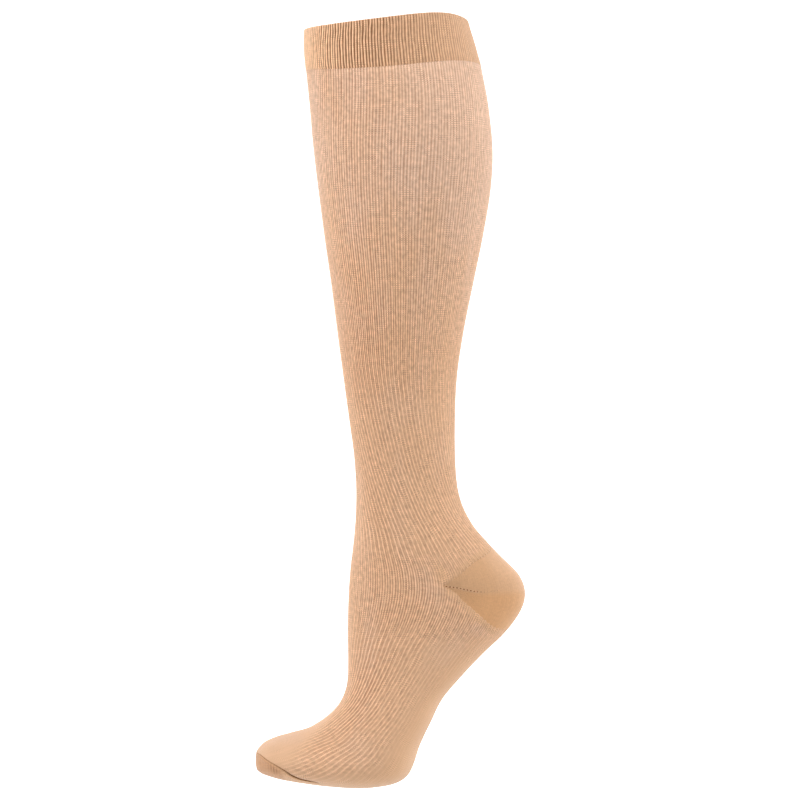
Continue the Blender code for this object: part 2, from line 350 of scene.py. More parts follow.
@dataclass(frozen=True)
class Wales:
    """Where the wales lie on a skin.

    A place of 0 to 1 runs round the leg from the front, over the near side. Places are even by length
    round each ring, since the knit stretches evenly. The drift is how far round the skin the whole knit
    is turned, by level, and the spread how much wider the wales lie at the sides than in front.
    """

    skin: Skin
    drift: Table
    spread: Table = ((0, 0), (1, 0))
    count: int = 160
    level_step: float = 0.05
    end_gap: float = 0.02
    places: int = 640
    ring_points: int = 721

    @cached_property
    def levels(self) -> Array:
        """The levels of the fine tables."""
        even = np.arange(0, self.skin.end + self.level_step, self.level_step)
        return np.minimum(even, self.skin.end - self.end_gap)

    @cached_property
    def turns(self) -> Array:
        """The turn at each level of the fine table, for evenly spaced places.

        Returns:
            The turns, a row for each level.
        """
        turn = np.linspace(0, TURN, self.ring_points)
        ring = self.skin.points(turn[None, :], self.levels[:, None])
        length = np.linalg.norm(np.diff(ring, axis=1), axis=-1).cumsum(axis=1)
        share = np.hstack([np.zeros((len(length), 1)), length / length[:, -1:]])
        place = np.linspace(0, 1, self.places + 1)
        return np.array([np.interp(place, one, turn) for one in share])

    def evened(self, knots: Table, level: Array) -> Array:
        """A table of levels and values at each level: straight between its knots, and then evened out
        with a raised cosine that is one level wide.

        Args:
            knots: The table's levels and values.
            level: Levels.

        Returns:
            The value at each level.
        """
        reach = int(round(0.5 / self.level_step))
        at = np.arange(-reach, len(self.levels) + reach) * self.level_step
        straight = read_off(knots, at)
        weight = np.hanning(2 * reach + 3)[1:-1]
        smooth = np.convolve(straight, weight / weight.sum(), "valid")
        return np.interp(level, np.arange(len(smooth)) * self.level_step, smooth)

    def settled(self, place: Array, level: Array) -> Array:
        """A knit place as a place on the skin: less the drift, and spread by a sine of two waves."""
        moved = place - self.evened(self.drift, level)
        return moved - self.evened(self.spread, level) * np.sin(2 * TURN * moved) / (2 * TURN)

    def turn_of(self, place: Array, level: Array) -> Array:
        """The turn of a place on the skin, read between the table's cells.

        Args:
            place: Places on the skin.
            level: Levels, which fit the places.

        Returns:
            The turns, in radians.
        """
        row = np.clip(level / self.level_step, 0, len(self.turns) - (1 + SLIVER))
        column = np.minimum((place % 1) * self.places, self.places - TINY)
        i, j = row.astype(int), column.astype(int)
        f, g = row - i, column - j
        upper = self.turns[i, j] * (1 - g) + self.turns[i, j + 1] * g
        lower = self.turns[i + 1, j] * (1 - g) + self.turns[i + 1, j + 1] * g
        return upper * (1 - f) + lower * f

    def on_skin(self, place: Array, level: Array, out: Number = 0.0) -> Array:
        """The skin's points at places on the skin, moved out along its normals, in metres.

        Args:
            place: Places on the skin.
            level: Levels, which fit the places.
            out: How far out, in metres.

        Returns:
            The points.
        """
        place, level, out = np.broadcast_arrays(place, level, out)
        turn = self.turn_of(place, level)
        return self.skin.points(turn, level) + self.skin.normals(turn, level) * out[..., None]

    def cloth(self, place: Array, level: Array, out: Number = 0.0) -> Array:
        """Points of the cloth: the skin's points at knit places and levels, moved out along its normals.

        Args:
            place: Places round the knit.
            level: Levels along it.
            out: How far the cloth stands out of the skin, in metres.

        Returns:
            The points, in metres.
        """
        place, level, out = np.broadcast_arrays(place, level, out)
        return self.on_skin(self.settled(place, level), level, out)


@dataclass(frozen=True)
class SeamLine:
    """A seam on the near side, given as side-view points, as a curve over places and levels.

    Each side-view point is put on the skin at the nearest point of a fine grid. The seam is the same on
    the far side, whose place is 1 less the near one's.
    """

    wales: Wales
    side_view: Table
    first_level: float
    last_level: float
    grid_places: int = 501
    grid_step: float = 0.01
    steps: int = 12
    repeats: int = 10

    @cached_property
    def knots(self) -> Array:
        """The seam's places and levels, a row for each side-view point, in order of place.

        Returns:
            The places and levels.
        """
        place = np.linspace(0, 0.5, self.grid_places)[None, :]
        level = np.arange(self.first_level, self.last_level, self.grid_step)[:, None]
        place, level = np.broadcast_arrays(place, level)
        grid = self.wales.on_skin(place, level)[..., ::2]
        target = np.array(self.side_view) * MM
        far = np.linalg.norm(grid[None] - target[:, None, None], axis=-1).reshape(len(target), -1)
        nearest = far.argmin(axis=1)
        found = np.column_stack([place.ravel()[nearest], level.ravel()[nearest]])
        return found[found[:, 0].argsort()]

    @cached_property
    def curve(self) -> Array:
        """Close points of the curve through the knots, in order of place.

        Returns:
            Their places and levels.
        """
        last = len(self.knots) - 1
        curve = spline(self.knots, np.linspace(0, last, last * self.steps + 1))
        return curve[curve[:, 0].argsort()]

    def level_at(self, place: Array) -> Array:
        """The seam's level at each place on the skin, on either side of the stocking."""
        return np.interp(from_front(place), self.curve[:, 0], self.curve[:, 1])

    def level_in_knit(self, place: Array) -> Array:
        """The seam's level at each place of the knit: the level whose place on the skin lies on the seam,
        found by repeats that go half of the way, from the level without drift.

        Args:
            place: Places of the knit.

        Returns:
            The levels.
        """
        level = self.level_at(place)
        for _ in range(self.repeats):
            level = 0.5 * level + 0.5 * self.level_at(self.wales.settled(place, level))
        return level


# The seams' points in the side view, X and Z in millimetres.
HEEL_UPPER_SEAM = (
    (37.5, -379.5), (42.5, -376.7), (47.2, -372.9), (57.0, -365.0), (64.5, -360.3), (71.5, -353.0),
)  # fmt: skip
HEEL_LOWER_SEAM = (
    (37.5, -379.5), (47.0, -384.5), (51.5, -389.5), (63.0, -400.0), (73.5, -409.0), (84.5, -413.5),
)  # fmt: skip
GORE_SEAM = (
    (37.5, -379.5), (48.0, -380.9), (61.2, -383.5), (72.0, -383.6), (82.0, -382.4), (95.0, -382.0),
)  # fmt: skip
TOE_SEAM = (
    (-95.8, -498.6), (-94.3, -498.8), (-91.3, -499.4), (-87.4, -501.5), (-83.6, -503.3), (-79.9, -505.2),
    (-76.4, -507.1), (-73.2, -509.1), (-70.3, -511.2), (-67.4, -512.9), (-64.3, -514.3), (-60.3, -515.4),
    (-55.5, -516.3), (-51.0, -517.3), (-47.6, -519.4), (-45.5, -523.0),
)  # fmt: skip


@dataclass
class Patch:
    """Faces of one side of a sheet, with their corners' places in the two UV maps."""

    faces: Array
    knit: Array
    flat: Array
    smooth: bool = True

    def turned(self) -> Patch:
        """The same faces, turned to the other side."""
        return Patch(self.faces[:, ::-1], self.knit[:, ::-1], self.flat[:, ::-1], self.smooth)


def grid_patch(
    ids: Array, wale: Array, course: Array, flat: Sequence[float], inside: bool = False
) -> Patch:
    """Quads over a grid of points, with columns that run round the leg.

    Args:
        ids: Point numbers, with a row for each ring. The first column is repeated at the end on a tube.
        wale: The wale number at each grid point.
        course: The course number at each grid point.
        flat: The left, bottom, right and top of the grid's place in the flat map.
        inside: True on the wall's inside, whose faces are turned round.

    Returns:
        The faces, in order of rows.
    """
    rows, columns = ids.shape
    left, bottom, right, top = flat
    u, v = np.meshgrid(np.linspace(left, right, columns), np.linspace(top, bottom, rows))
    knit, laid = (np.stack([quads(across), quads(along)], -1) for across, along in ((wale, course), (u, v)))
    patch = Patch(quads(ids), knit, laid)
    return patch.turned() if inside else patch


def rim_patch(
    outer: Array,
    inner: Array,
    wale: Array,
    course: float,
    flat: Sequence[float],
    lower: bool,
) -> Patch:
    """Faces of a cut edge, from the outside's edge points to the inside's, which are fewer.

    Args:
        outer: The outside's point numbers along the edge.
        inner: The inside's, one for each share of the outside's.
        wale: The wale number at each outside point.
        course: The course number of the edge.
        flat: The left, bottom, right and top of the edge's strip in the flat map.
        lower: True at an edge that faces down the leg.

    Returns:
        One face with many corners for each step of the inside's points, shaded apart from the cloth.
    """
    share = (len(outer) - 1) // (len(inner) - 1)
    run = np.arange(len(inner) - 1)[:, None] * share + np.arange(share + 1)[None, :]
    faces = np.hstack([outer[run], inner[1:, None], inner[:-1, None]])
    at = np.hstack([run, run[:, -1:], run[:, :1]])
    left, bottom, right, top = flat
    v = np.full(at.shape, top)
    v[:, -2:] = bottom
    knit = np.stack([wale[at], np.full(at.shape, course)], -1)
    laid = np.stack([np.linspace(left, right, len(outer))[at], v], -1)
    patch = Patch(faces, knit, laid, smooth=False)
    return patch.turned() if lower else patch


def build_mesh(
    name: str, points: Array, patches: Sequence[Patch], attributes: dict[str, Array] | None = None
) -> bpy.types.Object:
    """An object at the origin from points and patches of faces, smooth-shaded but for its cut edges.

    Args:
        name: The piece's name.
        points: One row for each point, in metres.
        patches: The faces. Corners that repeat a point, as at a pole, are dropped.
        attributes: Named values, one for each point.

    Returns:
        The object, linked to the scene.
    """
    corners = np.concatenate([patch.faces.ravel() for patch in patches])
    sizes = np.concatenate([np.full(len(patch.faces), patch.faces.shape[1]) for patch in patches])
    knit = np.concatenate([patch.knit.reshape(-1, 2) for patch in patches])
    flat = np.concatenate([patch.flat.reshape(-1, 2) for patch in patches])
    smooth = np.concatenate([np.full(len(patch.faces), patch.smooth) for patch in patches])
    starts = np.concatenate([[0], sizes.cumsum()[:-1]])
    following = np.arange(len(corners)) + 1
    following[starts + sizes - 1] = starts
    kept = corners != corners[following]
    face_of = np.repeat(np.arange(len(sizes)), sizes)
    sizes = np.bincount(face_of[kept], minlength=len(sizes))
    corners, knit, flat = corners[kept], knit[kept], flat[kept]
    mesh = bpy.data.meshes.new(name)
    mesh.vertices.add(len(points))
    mesh.vertices.foreach_set("co", np.ascontiguousarray(points, np.float32).ravel())
    mesh.loops.add(len(corners))
    mesh.loops.foreach_set("vertex_index", corners.astype(np.int32))
    mesh.polygons.add(len(sizes))
    mesh.polygons.foreach_set("loop_start", np.concatenate([[0], sizes.cumsum()[:-1]]).astype(np.int32))
    mesh.update(calc_edges=True)
    for map_name, values in ((BAKE_MAP, flat), (KNIT_MAP, knit)):
        layer = mesh.uv_layers.new(name=map_name, do_init=False)
        layer.uv.foreach_set("vector", values.astype(np.float32).ravel())
    for attribute_name, values in (attributes or {}).items():
        attribute = mesh.attributes.new(attribute_name, "FLOAT", "POINT")
        attribute.data.foreach_set("value", np.broadcast_to(values, len(points)).astype(np.float32))
    mesh.polygons.foreach_set("use_smooth", smooth)
    mesh.validate()
    piece = bpy.data.objects.new(name, mesh)
    bpy.context.scene.collection.objects.link(piece)
    return piece


@dataclass(frozen=True)
class NodeDesk:
    """Lays out and joins the nodes of one material."""

    material: bpy.types.Material

    @classmethod
    def new(cls, name: str) -> NodeDesk:
        """A desk for a new material, with its Principled BSDF and output in place.

        Args:
            name: The material's name.

        Returns:
            The desk.
        """
        material = bpy.data.materials.new(name)
        material.use_nodes = True
        return cls(material)

    @cached_property
    def knit(self) -> tuple[Socket, Socket]:
        """The wale number and the course number from the knit map.

        Returns:
            The two outputs.
        """
        node = self.add("ShaderNodeSeparateXYZ")
        self.plug(self.add("ShaderNodeUVMap", uv_map=KNIT_MAP).outputs[0], node.inputs[0])
        return node.outputs[0], node.outputs[1]

    def add(self, kind: str, **settings: object) -> bpy.types.Node:
        """A new node of a kind, with the settings given.

        Args:
            kind: The node's type.
            settings: Its properties, by name.

        Returns:
            The node.
        """
        node = self.material.node_tree.nodes.new(kind)
        for key, value in settings.items():
            setattr(node, key, value)
        return node

    def plug(self, value: Plug, socket: Socket) -> None:
        """Sets an input to a number or colour, or joins it to an output.

        Args:
            value: A number, a colour or an output.
            socket: The input.
        """
        if isinstance(value, Socket):
            self.material.node_tree.links.new(value, socket)
        elif isinstance(value, tuple) and len(socket.default_value) == 4:
            socket.default_value = (*value, 1)
        else:
            socket.default_value = value

    def shade(self, inputs: dict[str, Plug]) -> None:
        """Sets or joins the named inputs of the Principled BSDF.

        Args:
            inputs: The values, by the names of their inputs.
        """
        shader = self.material.node_tree.nodes["Principled BSDF"]
        for name, value in inputs.items():
            self.plug(value, shader.inputs[name])

    def math(self, operation: str, *values: Plug, clamp: bool = False) -> Socket:
        """The result of a Math node on up to three values, held between 0 and 1 where clamp is set.

        Args:
            operation: What the node works out.
            values: Its inputs, in order.
            clamp: True to hold the result between 0 and 1.

        Returns:
            The node's output.
        """
        node = self.add("ShaderNodeMath", operation=operation, use_clamp=clamp)
        for value, socket in zip(values, node.inputs):
            self.plug(value, socket)
        return node.outputs[0]

    def product(self, first: Plug, *factors: Plug) -> Socket:
        """The product of two or more values, taken in their order.

        Args:
            first: The first value.
            factors: The others.

        Returns:
            The product's output.
        """
        for factor in factors:
            first = self.math("MULTIPLY", first, factor)
        return first

    def mix(self, share: Plug, low: Plug, high: Plug) -> Socket:
        """A colour that goes from low to high with the share.

        Args:
            share: From 0 at low to 1 at high.
            low: A colour.
            high: A colour.

        Returns:
            The node's output.
        """
        node = self.add("ShaderNodeMix", data_type="RGBA")
        for value, number in ((share, 0), (low, 6), (high, 7)):
            self.plug(value, node.inputs[number])
        return node.outputs[2]

    def value(self, attribute: str) -> Socket:
        """The value of a named attribute of the piece."""
        return self.add("ShaderNodeAttribute", attribute_name=attribute).outputs["Fac"]

    def noise_at(self, place: Socket, detail: float) -> Socket:
        """Noise at a place, with cells about one unit wide.

        Args:
            place: Where the noise is read.
            detail: The number of finer layers.

        Returns:
            Values from 0 to 1.
        """
        node = self.add("ShaderNodeTexNoise")
        self.plug(place, node.inputs["Vector"])
        self.plug(1.0, node.inputs["Scale"])
        self.plug(detail, node.inputs["Detail"])
        return node.outputs["Fac"]

    def noise(self, scale: Point, detail: float = 3.0) -> Socket:
        """Noise over the object's own coordinates, with its own scale along each axis.

        Args:
            scale: Cells a metre along X, Y and Z.
            detail: The number of finer layers.

        Returns:
            Values from 0 to 1.
        """
        mapping = self.add("ShaderNodeMapping")
        self.plug(self.add("ShaderNodeTexCoord").outputs["Object"], mapping.inputs["Vector"])
        self.plug(scale, mapping.inputs["Scale"])
        return self.noise_at(mapping.outputs[0], detail)

    def knit_noise(self, across: float, along: float, detail: float = 2.0) -> Socket:
        """Noise over the knit map, across and along the wales at two scales.

        Args:
            across: Cells a wale.
            along: Cells a course.
            detail: The number of finer layers.

        Returns:
            Values from 0 to 1.
        """
        joined = self.add("ShaderNodeCombineXYZ")
        for number, scale, socket in zip(self.knit, (across, along), joined.inputs):
            self.plug(self.math("MULTIPLY", number, scale), socket)
        return self.noise_at(joined.outputs[0], detail)

    def swing(self, source: Socket, amount: float) -> Socket:
        """A noise value of about 0.5, turned into a factor about 1 that swings by the amount."""
        return self.math("MULTIPLY_ADD", source, 2 * amount, 1 - amount)


@dataclass(frozen=True)
class KnitFinish:
    """A matt knit: stitches, wales in relief and in painted shade and highlight, and an uneven, mottled dye.

    The colour is the ground, which goes to the stretched colour with the piece's "rose" value and to
    the gold one with its "gold" value; on the toe these two carry a painted highlight and painted shade.
    Painted shade darkens the grooves between wales and a painted highlight lightens their crests, by the
    piece's "rib" value, and the share of grooves that lie between every second wale is its "pair" value.

    A scale is in cells a metre, or in cells a wale and cells a course. A line is the factor and the
    constant that turn a noise value into a strength.
    """

    name: str
    ground: Colour
    stretched: Colour
    gold: Colour
    # The groove colour, its share and its power are painted shade in the grooves; the crest gain and its
    # power are a painted highlight on the crests.
    groove: Colour
    groove_shade_share: float
    crest_highlight_gain: float
    groove_power: float = 1.4
    crest_power: float = 2.2
    patch_scale: Range = (0.9, 0.06)
    patch_line: Range = (1.3, 0.35)
    blotch: float = 1.6
    blotch_scale: Point = (38, 38, 17)
    mottle: float = 0.05
    mottle_scale: Point = (90, 90, 55)
    mottle_detail: float = 4.0
    streak: float = 0.05
    streak_scale: Range = (0.45, 0.012)
    fleck: float = 0.42
    fleck_scale: Range = (0.7, 0.4)
    # The rows of stitches are painted light and shade where the knit is open.
    course_shade: float = 0.27
    open_scale: Range = (0.2, 0.16)
    open_line: Range = (5.0, -2.4)
    stitch_relief: float = 0.08 * MM
    stitch_slant: float = 0.5
    wale_relief: float = 0.6
    roughness: float = 0.86
    gloss: float = 0.25
    sheen: float = 0.36
    sheen_spread: float = 0.45
    sheen_tint: Colour = (1.0, 0.90, 0.82)

    def material(self) -> bpy.types.Material:
        """The finish as a material.

        Returns:
            The material.
        """
        desk = NodeDesk.new(self.name)
        desk.shade({
            "Base Color": self.colour(desk),
            "Normal": self.stitches(desk),
            "Roughness": self.roughness,
            "Specular IOR Level": self.gloss,
            "Sheen Weight": self.sheen,
            "Sheen Roughness": self.sheen_spread,
            "Sheen Tint": self.sheen_tint,
        })  # fmt: skip
        desk.material.diffuse_color = (*self.ground, 1)
        return desk.material

    def colour(self, desk: NodeDesk) -> Socket:
        """The dyed colour with painted shade in the grooves, times the brightness.

        Args:
            desk: The material's desk.

        Returns:
            The colour.
        """
        groove = self.grooves(desk)
        patchy = desk.math("MULTIPLY_ADD", desk.knit_noise(*self.patch_scale), *self.patch_line)
        strength = desk.math("MULTIPLY", desk.value("rib"), patchy)
        # deep is the share of painted shade in the grooves, and crest the share of the painted highlight on
        # the crests.
        deep = desk.product(desk.math("POWER", groove, self.groove_power), strength, self.groove_shade_share)
        crest = desk.math("POWER", desk.math("SUBTRACT", 1.0, groove), self.crest_power)
        scale = desk.add("ShaderNodeVectorMath", operation="SCALE")
        desk.plug(desk.mix(deep, self.dye(desk), self.groove), scale.inputs[0])
        desk.plug(self.brightness(desk, desk.math("MULTIPLY", crest, strength)), scale.inputs["Scale"])
        return scale.outputs[0]

    def dye(self, desk: NodeDesk) -> Socket:
        """The ground colour with its stretched and golden parts, whose edges are blotchy.

        On the toe, these parts are a painted highlight and painted shade.

        Args:
            desk: The material's desk.

        Returns:
            The colour's output.
        """
        blotch = desk.math("SUBTRACT", desk.noise(self.blotch_scale), 0.5)
        rose = desk.math("MULTIPLY_ADD", blotch, self.blotch, desk.value("rose"))
        return desk.mix(desk.value("gold"), desk.mix(rose, self.ground, self.stretched), self.gold)

    def grooves(self, desk: NodeDesk) -> Socket:
        """0 on the crest of a wale to 1 in a groove: half of 1 less a wave.

        The wave is the cosine of one turn a wale, and goes over to that of half a turn a wale with the
        "pair" value.

        Args:
            desk: The material's desk.

        Returns:
            The depth of the grooves.
        """
        single, paired = (
            desk.math("COSINE", desk.math("MULTIPLY", desk.knit[0], turn)) for turn in (TURN, TURN / 2)
        )
        apart = desk.math("SUBTRACT", paired, single)
        wave = desk.math("MULTIPLY_ADD", apart, desk.value("pair"), single)
        return desk.math("MULTIPLY_ADD", wave, -0.5, 0.5)

    def brightness(self, desk: NodeDesk, crest: Socket) -> Socket:
        """The product of five factors: crests, which carry a painted highlight, mottle, streaks down the
        wales, flecks, and the rows of stitches, painted light and shade where the knit is open. The flecks
        fade where the ribs do.

        Args:
            desk: The material's desk.
            crest: How much of a crest shows, from 0 to 1.

        Returns:
            The brightness.
        """
        fleck = desk.math("SUBTRACT", desk.knit_noise(*self.fleck_scale), 0.5)
        fleck = desk.math("MULTIPLY_ADD", fleck, desk.math("MINIMUM", desk.value("rib"), 1.0), 0.5)
        opened = desk.math("MULTIPLY_ADD", desk.knit_noise(*self.open_scale), *self.open_line, clamp=True)
        rows = desk.math("MULTIPLY", self.loops(desk), opened)
        return desk.product(
            desk.math("MULTIPLY_ADD", crest, self.crest_highlight_gain, 1.0),
            desk.swing(desk.noise(self.mottle_scale, self.mottle_detail), self.mottle),
            desk.swing(desk.knit_noise(*self.streak_scale), self.streak),
            desk.swing(fleck, self.fleck),
            desk.math("MULTIPLY_ADD", rows, self.course_shade, 1.0),
        )

    def loops(self, desk: NodeDesk) -> Socket:
        """The rows of stitches, from -1 to 1.

        A stitch is a V whose two legs meet in the middle of its wale: the value is the cosine of as many
        turns as the course number plus the slant times twice the distance from the wale's middle.

        Args:
            desk: The material's desk.

        Returns:
            The rows' wave.
        """
        wale, course = desk.knit
        near = desk.math("PINGPONG", wale, 0.5)
        slanted = desk.math("MULTIPLY_ADD", near, self.stitch_slant * 2, course)
        return desk.math("COSINE", desk.math("MULTIPLY", slanted, TURN))

    def stitches(self, desk: NodeDesk) -> Socket:
        """The knit stitches as a normal: the rows of stitches, which fall to each wale's edges.

        Args:
            desk: The material's desk.

        Returns:
            The normal.
        """
        edge = desk.math("COSINE", desk.math("MULTIPLY", desk.knit[0], TURN))
        node = desk.add("ShaderNodeBump")
        desk.plug(1.0, node.inputs["Strength"])
        desk.plug(self.stitch_relief / 2, node.inputs["Distance"])
        desk.plug(desk.math("MULTIPLY_ADD", edge, self.wale_relief, self.loops(desk)), node.inputs["Height"])
        return node.outputs["Normal"]


@dataclass(frozen=True)
class ThreadFinish:
    """A plain twisted thread, with a fine grain of a darker tone."""

    name: str
    colour: Colour
    dark_share: float = 0.7
    grain: float = 900.0
    roughness: float = 0.85
    gloss: float = 0.08

    def material(self) -> bpy.types.Material:
        """The finish as a material.

        Returns:
            The material.
        """
        desk = NodeDesk.new(self.name)
        dark = tuple(self.dark_share * part for part in self.colour)
        desk.shade({
            "Base Color": desk.mix(desk.noise((self.grain,) * 3, 1.0), dark, self.colour),
            "Roughness": self.roughness,
            "Specular IOR Level": self.gloss,
        })  # fmt: skip
        desk.material.diffuse_color = (*self.colour, 1)
        return desk.material


TAN = (0.656, 0.407, 0.253)
ROSE_TAN = (0.650, 0.440, 0.321)
GOLD_TAN = (0.592, 0.350, 0.194)
DEEP_GOLD = (0.622, 0.340, 0.166)
BAND_TAN = (0.775, 0.490, 0.305)
BAND_GOLD = (0.590, 0.362, 0.222)
# The two browns below are painted shade in the grooves between wales.
GROOVE_SHADE_BROWN = (0.420, 0.215, 0.120)
BAND_GROOVE_SHADE_BROWN = (0.300, 0.140, 0.065)
# The toe's tan knit is darkened to paint the shade under the toes.
TOE_TAN_AND_SHADE = (0.550, 0.298, 0.160)
# Painted highlight on the roll below the toe seam, and painted shade between the gathers' folds.
TOE_HIGHLIGHT = (0.720, 0.455, 0.275)
TOE_FOLD_SHADE = (0.300, 0.135, 0.058)

BAND_KNIT = KnitFinish(
    Knit.RIBBED_WELT.value, BAND_TAN, ROSE_TAN, BAND_GOLD, BAND_GROOVE_SHADE_BROWN, groove_shade_share=0.8, crest_highlight_gain=0.33
)
TUBE_KNIT = KnitFinish(
    Knit.SHEER_TUBE.value, TAN, ROSE_TAN, GOLD_TAN, GROOVE_SHADE_BROWN, groove_shade_share=0.6, crest_highlight_gain=0.2
)
POCKET_KNIT = KnitFinish(
    Knit.PLAIN_POCKET.value, GOLD_TAN, TAN, DEEP_GOLD, GROOVE_SHADE_BROWN, groove_shade_share=0.2, crest_highlight_gain=0.04
)
# On the toe, the "rose" value paints a highlight and the "gold" value paints shade.
TOE_KNIT = KnitFinish(
    Knit.PLAIN_TOE.value, TOE_TAN_AND_SHADE, TOE_HIGHLIGHT, TOE_FOLD_SHADE, GROOVE_SHADE_BROWN, groove_shade_share=0.5, crest_highlight_gain=0.1
)
SEAM_LOOPS = ThreadFinish("seam_loops_tan", (0.60, 0.36, 0.21))
# The seam thread's brown is partly a real thread and partly painted shade in the crease above the toe seam.
SEAM_THREAD_AND_SHADE = ThreadFinish("seam_thread_and_crease_shade", (0.260, 0.095, 0.018))
EYELET_LOOPS = ThreadFinish("eyelet_loops_tan", (0.78, 0.50, 0.31))
EYELET_SHADE = ThreadFinish("eyelet_shade_brown", (0.30, 0.13, 0.05))


@dataclass
class Leg:
    """The skins and seams that all the pieces share."""

    count: int = 160
    columns_a_wale: int = 4
    course_pitch: float = 1.45 * MM
    serration_depth: float = 0.02
    serration_fade: Range = (0.02, 0.12)
    leg: Skin = field(default_factory=lambda: Skin(LEG_STATIONS, TOE_POINT))
    band: Skin = field(default_factory=lambda: Skin(BAND_STATIONS))

    def __post_init__(self) -> None:
        """Lays the wales and finds the seams on the skin."""
        self.wales = Wales(self.leg, LEG_DRIFT, LEG_SPREAD, self.count)
        self.band_wales = Wales(self.band, BAND_DRIFT, count=self.count)
        heel = (level_of("heel cord"), level_of("arch back"))
        self.heel_upper = SeamLine(self.wales, HEEL_UPPER_SEAM, *heel)
        self.heel_lower = SeamLine(self.wales, HEEL_LOWER_SEAM, *heel)
        self.gore = SeamLine(self.wales, GORE_SEAM, *heel)
        self.toe = SeamLine(self.wales, TOE_SEAM, level_of("toe joints"), self.leg.end)
        tip = self.heel_upper.knots[0]
        self.tip_wale = int(round(tip[0] * self.count))
        self.tip_level = float(tip[1])

    @property
    def columns(self) -> int:
        """The number of columns of points round the tube."""
        return self.count * self.columns_a_wale

    @property
    def tip_column(self) -> int:
        """The column of the gore line's front end, on the near side."""
        return self.tip_wale * self.columns_a_wale

    @property
    def tip_place(self) -> float:
        """The place of the gore line's front end, on the near side."""
        return self.tip_column / self.columns

    def places(self) -> Array:
        """The place of each column, with the first again at the end, one turn on."""
        return np.arange(self.columns + 1) / self.columns

    def behind(self, place: Array) -> Array:
        """0 at the gore's tips and in front of them, growing to 1 at the back of the heel."""
        return np.clip((from_front(place) - self.tip_place) / (0.5 - self.tip_place), 0, 1)

    def heel_edge(self, seam: SeamLine, place: Array) -> Array:
        """A heel seam's level at each place, and the tip's level in front of the tip.

        Args:
            seam: The seam.
            place: Places round the leg.

        Returns:
            The levels.
        """
        tip = seam.knots[0, 0]
        level = seam.level_at(tip + self.behind(place) * (0.5 - tip))
        return np.where(self.behind(place) > 0, level, self.tip_level)

    def serration(self, place: Array) -> Array:
        """How far the ribs' ends run past a heel seam, in levels: up and down once every two wales."""
        fade = smoothstep(*self.serration_fade, self.behind(place))
        return self.serration_depth * fade * np.cos(place * self.count * math.pi)

    def toe_edge(self, place: Array) -> Array:
        """The toe seam's level at each place of the knit."""
        return self.toe.level_in_knit(place)

    def folded(self, place: Array, level: Array) -> Array:
        """How far round the skin a knit place lies from the front, the same on both sides: 0 to 1/2."""
        return from_front(self.wales.settled(place, level))


# Levels and values: the share of paired ribs, and how dark the painted shade in the grooves is in front
# and at the sides.
PAIRED_RIBS = (
    (0, 0.10), (6.4, 0.14), (7.1, 0.34), (7.9, 0.70), (11.8, 0.70), (12.4, 0.30), (13.0, 0.12), (15.1, 0.12),
    (16.1, 0.7),
)  # fmt: skip
FRONT_GROOVE_SHADE = (
    (0, 1.25), (3, 1.15), (4.5, 1.55), (6, 2.0), (7.2, 1.8), (8.0, 1.25), (9, 1.2), (10, 1.25), (12.4, 1.35),
    (13.4, 1.35), (15, 1.35), (16, 1.25), (17.5, 1.8), (19, 1.8), (20.5, 1.15), (27, 1.05),
)  # fmt: skip
SIDE_GROOVE_SHADE = (
    (0, 0.95), (3, 1.0), (6, 1.3), (7, 1.35), (7.8, 0.98), (8.8, 0.95), (10, 1.05), (12.2, 1.0), (13.4, 1.25),
    (15.2, 1.25), (16.1, 0.75), (18, 0.92), (20, 0.85), (27, 0.8),
)  # fmt: skip

PALE_PATCHES = ((28, 20, -376, 24), (64, 18, -409, 9))  # X and its reach, Z and its reach, in millimetres


